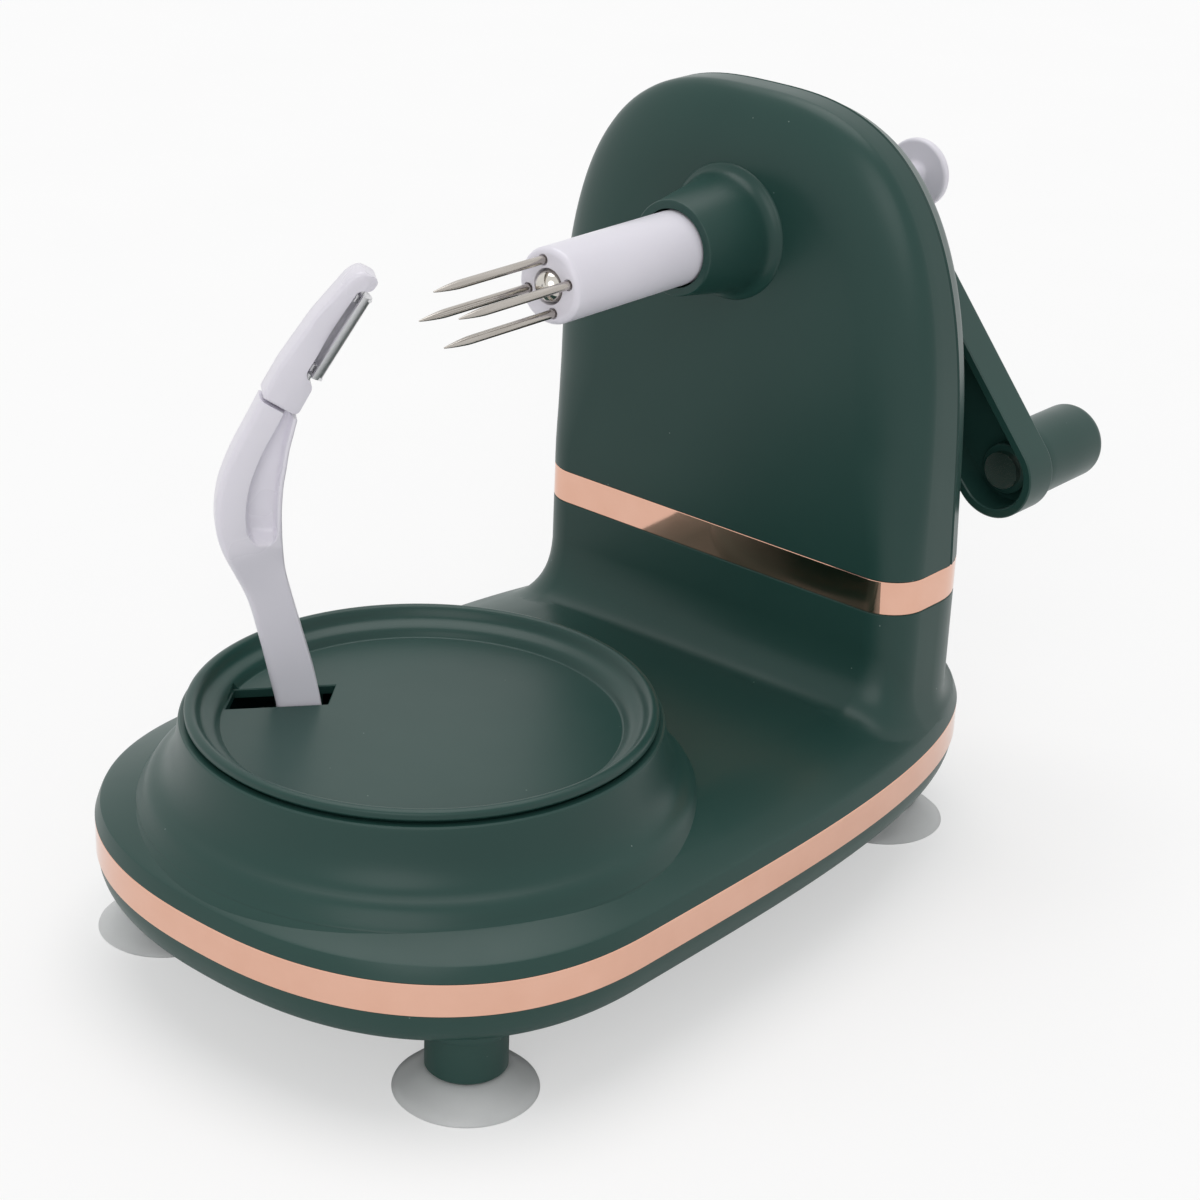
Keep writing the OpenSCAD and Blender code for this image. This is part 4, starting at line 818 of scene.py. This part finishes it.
def arm_ring(u):
    """One cross-section of the arm: rounded edges, a scooped groove above, a thinner shank below."""
    outer_s, outer_z, inner_s, inner_z = through(arm_rows, u)
    width = math.hypot(outer_s - inner_s, outer_z - inner_z)
    soft, lip = min(1.5, width * 0.25), 0.5
    belly, wedge, shank = eased(u, scoop_start, 9.0), eased(u, 6.2, 8.2), 2.2 * eased(u, 2.6, 6.2)
    rise = eased(u, 7.3, 9.5)
    wide = (1 - (1 - min(max((u - scoop_start) / 0.75, 0.03), 1)) ** 2) ** 0.5
    left, right = 6.2 - 0.7 * eased(u, 11, 15), width - 0.9
    middle = (left + right) / 2
    scoop = [(left - 0.35, 0), (left, 0.04), (left + 0.25, 0.5), (left + 0.6, 0.86), (left + 1.1, 1),
             (middle, 1.02), (right - 0.95, 1), (right - 0.5, 0.86), (right - 0.2, 0.5), (right, 0.04),
             (right + 0.15, 0)]
    face = []
    for i, (a, fall) in enumerate(scoop):
        plain = soft + 0.2 + (width - soft - lip - 0.4) * i / 10
        scooped = middle + (a - middle) * wide
        a = scooped if u > scoop_start else plain + (scooped - plain) * eased(u, 7.4, scoop_start)
        low = shank + (2.4 * max(a - 1.6, 0) / width - shank) * wedge
        face.append((a, arm_near + low * (1 - rise) + 2.8 * fall * belly))
    near, lip_near = arm_near + shank * (1 - wedge), face[-1][1]
    outline = bend(soft, near + soft, soft, 180, 270, 5) + face
    outline += bend(width - lip, lip_near + lip, lip, 270, 360, 4)
    outline += bend(width - soft, arm_far - soft, soft, 0, 90, 5) + bend(soft, arm_far - soft, soft, 90, 180, 5)
    ds, dz = (inner_s - outer_s) / width, (inner_z - outer_z) / width
    return [swing(outer_s + ds * a, outer_z + dz * a, t) for a, t in outline]


arm_stations = [i / 4 for i in range(32)] + [8 + i / 16 for i in range(16)] + [9 + i / 4 for i in range(25)]
arm = drawn("peeler_lever", [arm_ring(u) for u in arm_stations], 50)
way_profile = [(0, 5), (1.56, 5), (1.56, 26), (0, 26)]
pin_way = turned("pin_way", way_profile, arm_pivot, swing_axis, (0, 0, 1), steps=32)
joined(arm, [pin_way], "DIFFERENCE", 50)
arm.data.materials.append(white_abs)
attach(arm, "arm")
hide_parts("peeler_arm")


# ---------------------------------------------------------------- Blade holder
# A white ABS head plugged on the arm with a flat tongue. Its back is a plain bar whose face falls
# off to the inner side, where the blade swings on two pins in a long notch.

head_s, head_z, head_lean = 28.3, 120.8, math.radians(31.5)   # its foot on the arm, and its lean inward


def head(x, y, t):
    """A place in the blade holder's own frame: x outward, y along it, t across the arm."""
    c, s = math.cos(head_lean), math.sin(head_lean)
    return swing(head_s + x * c - y * s, head_z + x * s + y * c, t)


def neighbours(outline):
    """Each point of a closed outline between the one before and the one after it."""
    return zip(outline[-1:] + outline[:-1], outline, outline[1:] + outline[:1])


def rounded(corners, radius):
    """An outline with each corner rounded off by about radius."""
    outline, parts = [], 5
    for (ax, ay), (bx, by), (cx, cy) in neighbours(corners):
        back, on = math.hypot(ax - bx, ay - by), math.hypot(cx - bx, cy - by)
        cut = min(radius, 0.45 * back, 0.45 * on)
        p = (bx + (ax - bx) * cut / back, by + (ay - by) * cut / back)
        q = (bx + (cx - bx) * cut / on, by + (cy - by) * cut / on)
        for f in [i / parts for i in range(parts + 1)]:
            ends = zip(p, (bx, by), q)
            outline.append(tuple((1 - f) ** 2 * u + 2 * f * (1 - f) * v + f * f * w for u, v, w in ends))
    return outline


def shrunk(outline, d):
    """An outline moved in by d along its own normals."""
    result = []
    for (ax, ay), (bx, by), (cx, cy) in neighbours(outline):
        tx, ty = cx - ax, cy - ay
        size = math.hypot(tx, ty) or 1
        result.append((bx - ty / size * d, by + tx / size * d))
    return result


head_plan = rounded([(-4, 0.15), (4.8, 0.15), (5.1, 8), (4.4, 20), (2.6, 31), (1.2, 33.3), (-2.2, 33.5),
                     (-3.4, 32.6), (-3.4, 30.2), (-0.6, 29.4), (-0.6, 8.6), (-3.7, 6.9)], 1.2)
edge_steps = [(0.9, 0), (0.45, 0.12), (0.12, 0.45), (0, 0.9)]
head_steps = [(inset, arm_near + depth) for inset, depth in edge_steps]
head_steps += [(inset, arm_far - depth) for inset, depth in edge_steps[::-1]]
head_rings = [[head(x, y, t) for x, y in shrunk(head_plan, inset)] for inset, t in head_steps]
holder = drawn("blade_head", head_rings, 50)
tongue = rounded([(-2.4, -7.6), (2.4, -7.6), (2.4, 2), (-2.4, 2)], 0.6)
joined(holder, [drawn("tongue", [[head(x, y, t) for x, y in tongue] for t in (15.4, 17.7)])])
# Where the face breaks along the head, y and x, to fall off inward. The cut starts a little beyond it.
crease = [(-2, 0.2), (1, 0.3), (9, 0.9), (12.4, 1.4), (14.5, 2.2), (17, 3.4), (19.5, 3.9), (22, 3.5),
          (29.8, 1.0), (36, -1)]
beyond, inmost, slope = 0.4, -7, 0.45
fall = []
for y, edge in crease:
    start, deep = edge + beyond, arm_near + slope * (edge - inmost)
    wedge = [(start, 8), (start, 11.42), (inmost, deep), (inmost, 8)]
    fall.append([head(x, y, t) for x, t in wedge])
joined(holder, [drawn("fall", fall)], "DIFFERENCE", 40)
blade_foot = head(-1.7, 0, arm_mid)
blade_along = head(0, 1, arm_mid) * 1000 - head(0, 0, arm_mid) * 1000
pin_ways = [turned("pin_way", [(0, low), (0.97, low), (0.97, high), (0, high)], blade_foot, blade_along,
                   swing_axis, steps=26) for low, high in ((5.3, 11), (27, 31.7))]
joined(holder, pin_ways, "DIFFERENCE", 40)
pocket = [(-2.5, -8), (2.5, -8), (2.5, 1), (-2.5, 1)]
joined(arm, [drawn("pocket", [[head(x, y, t) for x, y in pocket] for t in (15.3, 17.8)])], "DIFFERENCE", 50)
holder.data.materials.append(white_abs)
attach(holder, "arm")
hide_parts("blade_holder")


# ---------------------------------------------------------------- Blade
# A strip of stainless steel rolled to a shallow trough, with a slit whose ground edge peels. Two
# pins at its ends let it follow the fruit's skin.

# Stainless steel sheet, ground: a cool bright metal with fine grinding lines across the strip,
# drawn 0.3 mm wide.
blade_steel, tree, shader, place = new_material("Stainless steel ground sheet")
grind = add(tree, "ShaderNodeMapping", {"Scale": (1, 1, 0.08)}, [(place, "Vector")])
ground = noise(tree, grind.outputs["Vector"], 0.3, 3)
feed(tree, shader, tones(tree, ground, "#d2d2d4", "#e4e4e6"), span(tree, ground, 0.32, 0.46))
shader.inputs["Metallic"].default_value = 1


def strip_ring(y):
    """The blade's thin curved section at a place along it."""
    turns = [math.radians(-72 + 144 * i / 20) for i in range(21)]
    section = [(-0.7 - 3.8 * math.cos(a), 3.8 * math.sin(a)) for a in turns]
    section += [(-0.7 - 3.25 * math.cos(a), 3.25 * math.sin(a)) for a in turns[::-1]]
    return [head(x, y, arm_mid + t) for x, t in section]


blade = drawn("blade_strip", [strip_ring(8.9), strip_ring(28.9)], 40)
slit = [(-8, 11.4), (2, 11.4), (2, 26.4), (-8, 26.4)]
slit_rings = [[head(x, y, arm_mid + t) for x, y in slit] for t in (-0.8, 0.8)]
joined(blade, [drawn("slit", slit_rings)], "DIFFERENCE")
web = [(-4.2, 12.9), (-2.2, 12.7), (-1.25, 14.3), (-1.25, 16.5), (-2.2, 18.1), (-4.2, 17.9)]
webs = [drawn("web", [[head(x, y, t) for x, t in web] for y in (low, low + 0.6)]) for low in (8.95, 28.25)]
joined(blade, webs)
pins = []
for low in (5.9, 26.3):
    pin = [(0, low), (0.7, low), (0.9, low + 0.2), (0.9, low + 5), (0.7, low + 5.2), (0, low + 5.2)]
    pins.append(turned("pin", pin, blade_foot, blade_along, swing_axis, steps=20))
joined(blade, pins)
blade.data.materials.append(blade_steel)
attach(blade, "blade")
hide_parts("blade")


# ---------------------------------------------------------------- Studio
# A pale table top under a wide soft light from above and a weaker one from the front right, as for
# a catalogue picture, seen from the front right and a little above.

bpy.ops.object.select_all(action="DESELECT")
bpy.ops.mesh.primitive_grid_add(x_subdivisions=2, y_subdivisions=2, size=12)
floor = bpy.context.object
floor.name = "studio_floor"
# Matt white laminate: even and pale, it only takes the object's soft shadow. To the camera alone
# half of it is plain white, as in a cut-out catalogue picture.
laminate, tree, shader, place = new_material("Laminate matt white")
mottle = noise(tree, place, 60, 2)
tree.links.new(tones(tree, mottle, "#fbfbfb", "#fefefe"), shader.inputs["Base Color"])
shader.inputs["Roughness"].default_value = 0.9
shader.inputs["Specular IOR Level"].default_value = 0.1
path = add(tree, "ShaderNodeLightPath", {})
seen = span(tree, path.outputs["Is Camera Ray"], 0, 0.5)
bright = add(tree, "ShaderNodeEmission", {"Color": (1, 1, 1, 1), "Strength": 1})
blend = add(tree, "ShaderNodeMixShader", {}, [(seen, 0), (shader.outputs[0], 1), (bright.outputs[0], 2)])
tree.links.new(blend.outputs[0], tree.nodes["Material Output"].inputs["Surface"])
floor.data.materials.append(laminate)
floor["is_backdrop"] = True

world = bpy.data.worlds.new("studio")
bpy.context.scene.world = world
world.use_nodes = True
sky = world.node_tree
# Shadows and diffuse light get less of the white than the camera and the reflections do.
path = add(sky, "ShaderNodeLightPath", {})
seen = add(sky, "ShaderNodeMath", {"operation": "ADD", "use_clamp": True},
           [(path.outputs["Is Camera Ray"], 0), (path.outputs["Is Glossy Ray"], 1)])
seen = add(sky, "ShaderNodeMath", {"operation": "ADD", "use_clamp": True},
           [(seen.outputs[0], 0), (path.outputs["Is Transmission Ray"], 1)])
backdrop = sky.nodes["Background"]
backdrop.inputs["Color"].default_value = (1, 1, 1, 1)
sky.links.new(span(sky, seen.outputs[0], 0.48, 1.0), backdrop.inputs["Strength"])

lamps = (("soft_key", (-0.17, 0.16, 0.97), 1.25, 50), ("soft_fill", (0.46, -0.77, 0.45), 0.6, 40))
for name, direction, energy, spread in lamps:
    bpy.ops.object.light_add(type="SUN", rotation=Vector(direction).to_track_quat("Z", "Y").to_euler())
    lamp = bpy.context.object
    lamp.name = name
    lamp.data.energy = energy
    lamp.data.angle = math.radians(spread)

yaw, pitch, roll = (math.radians(a) for a in (40.05, 24.02, 2.36))
back = Vector((math.sin(yaw) * math.cos(pitch), -math.cos(yaw) * math.cos(pitch), math.sin(pitch)))
right = (-back).cross(Vector((0, 0, 1))).normalized()
up = right.cross(-back)
tilted_right = right * math.cos(roll) + up * math.sin(roll)
tilted_up = up * math.cos(roll) - right * math.sin(roll)
bpy.ops.object.camera_add()
camera = bpy.context.object
camera.name = "photo_view"
camera.data.sensor_width = 36
camera.data.lens = 83.1
camera.matrix_world = Matrix.Translation((0.3652, -0.43215, 0.3176)) @ Matrix(
    (tilted_right, tilted_up, back)).transposed().to_4x4()
bpy.context.scene.camera = camera
bpy.context.scene.view_settings.view_transform = "Standard"

low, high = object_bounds()
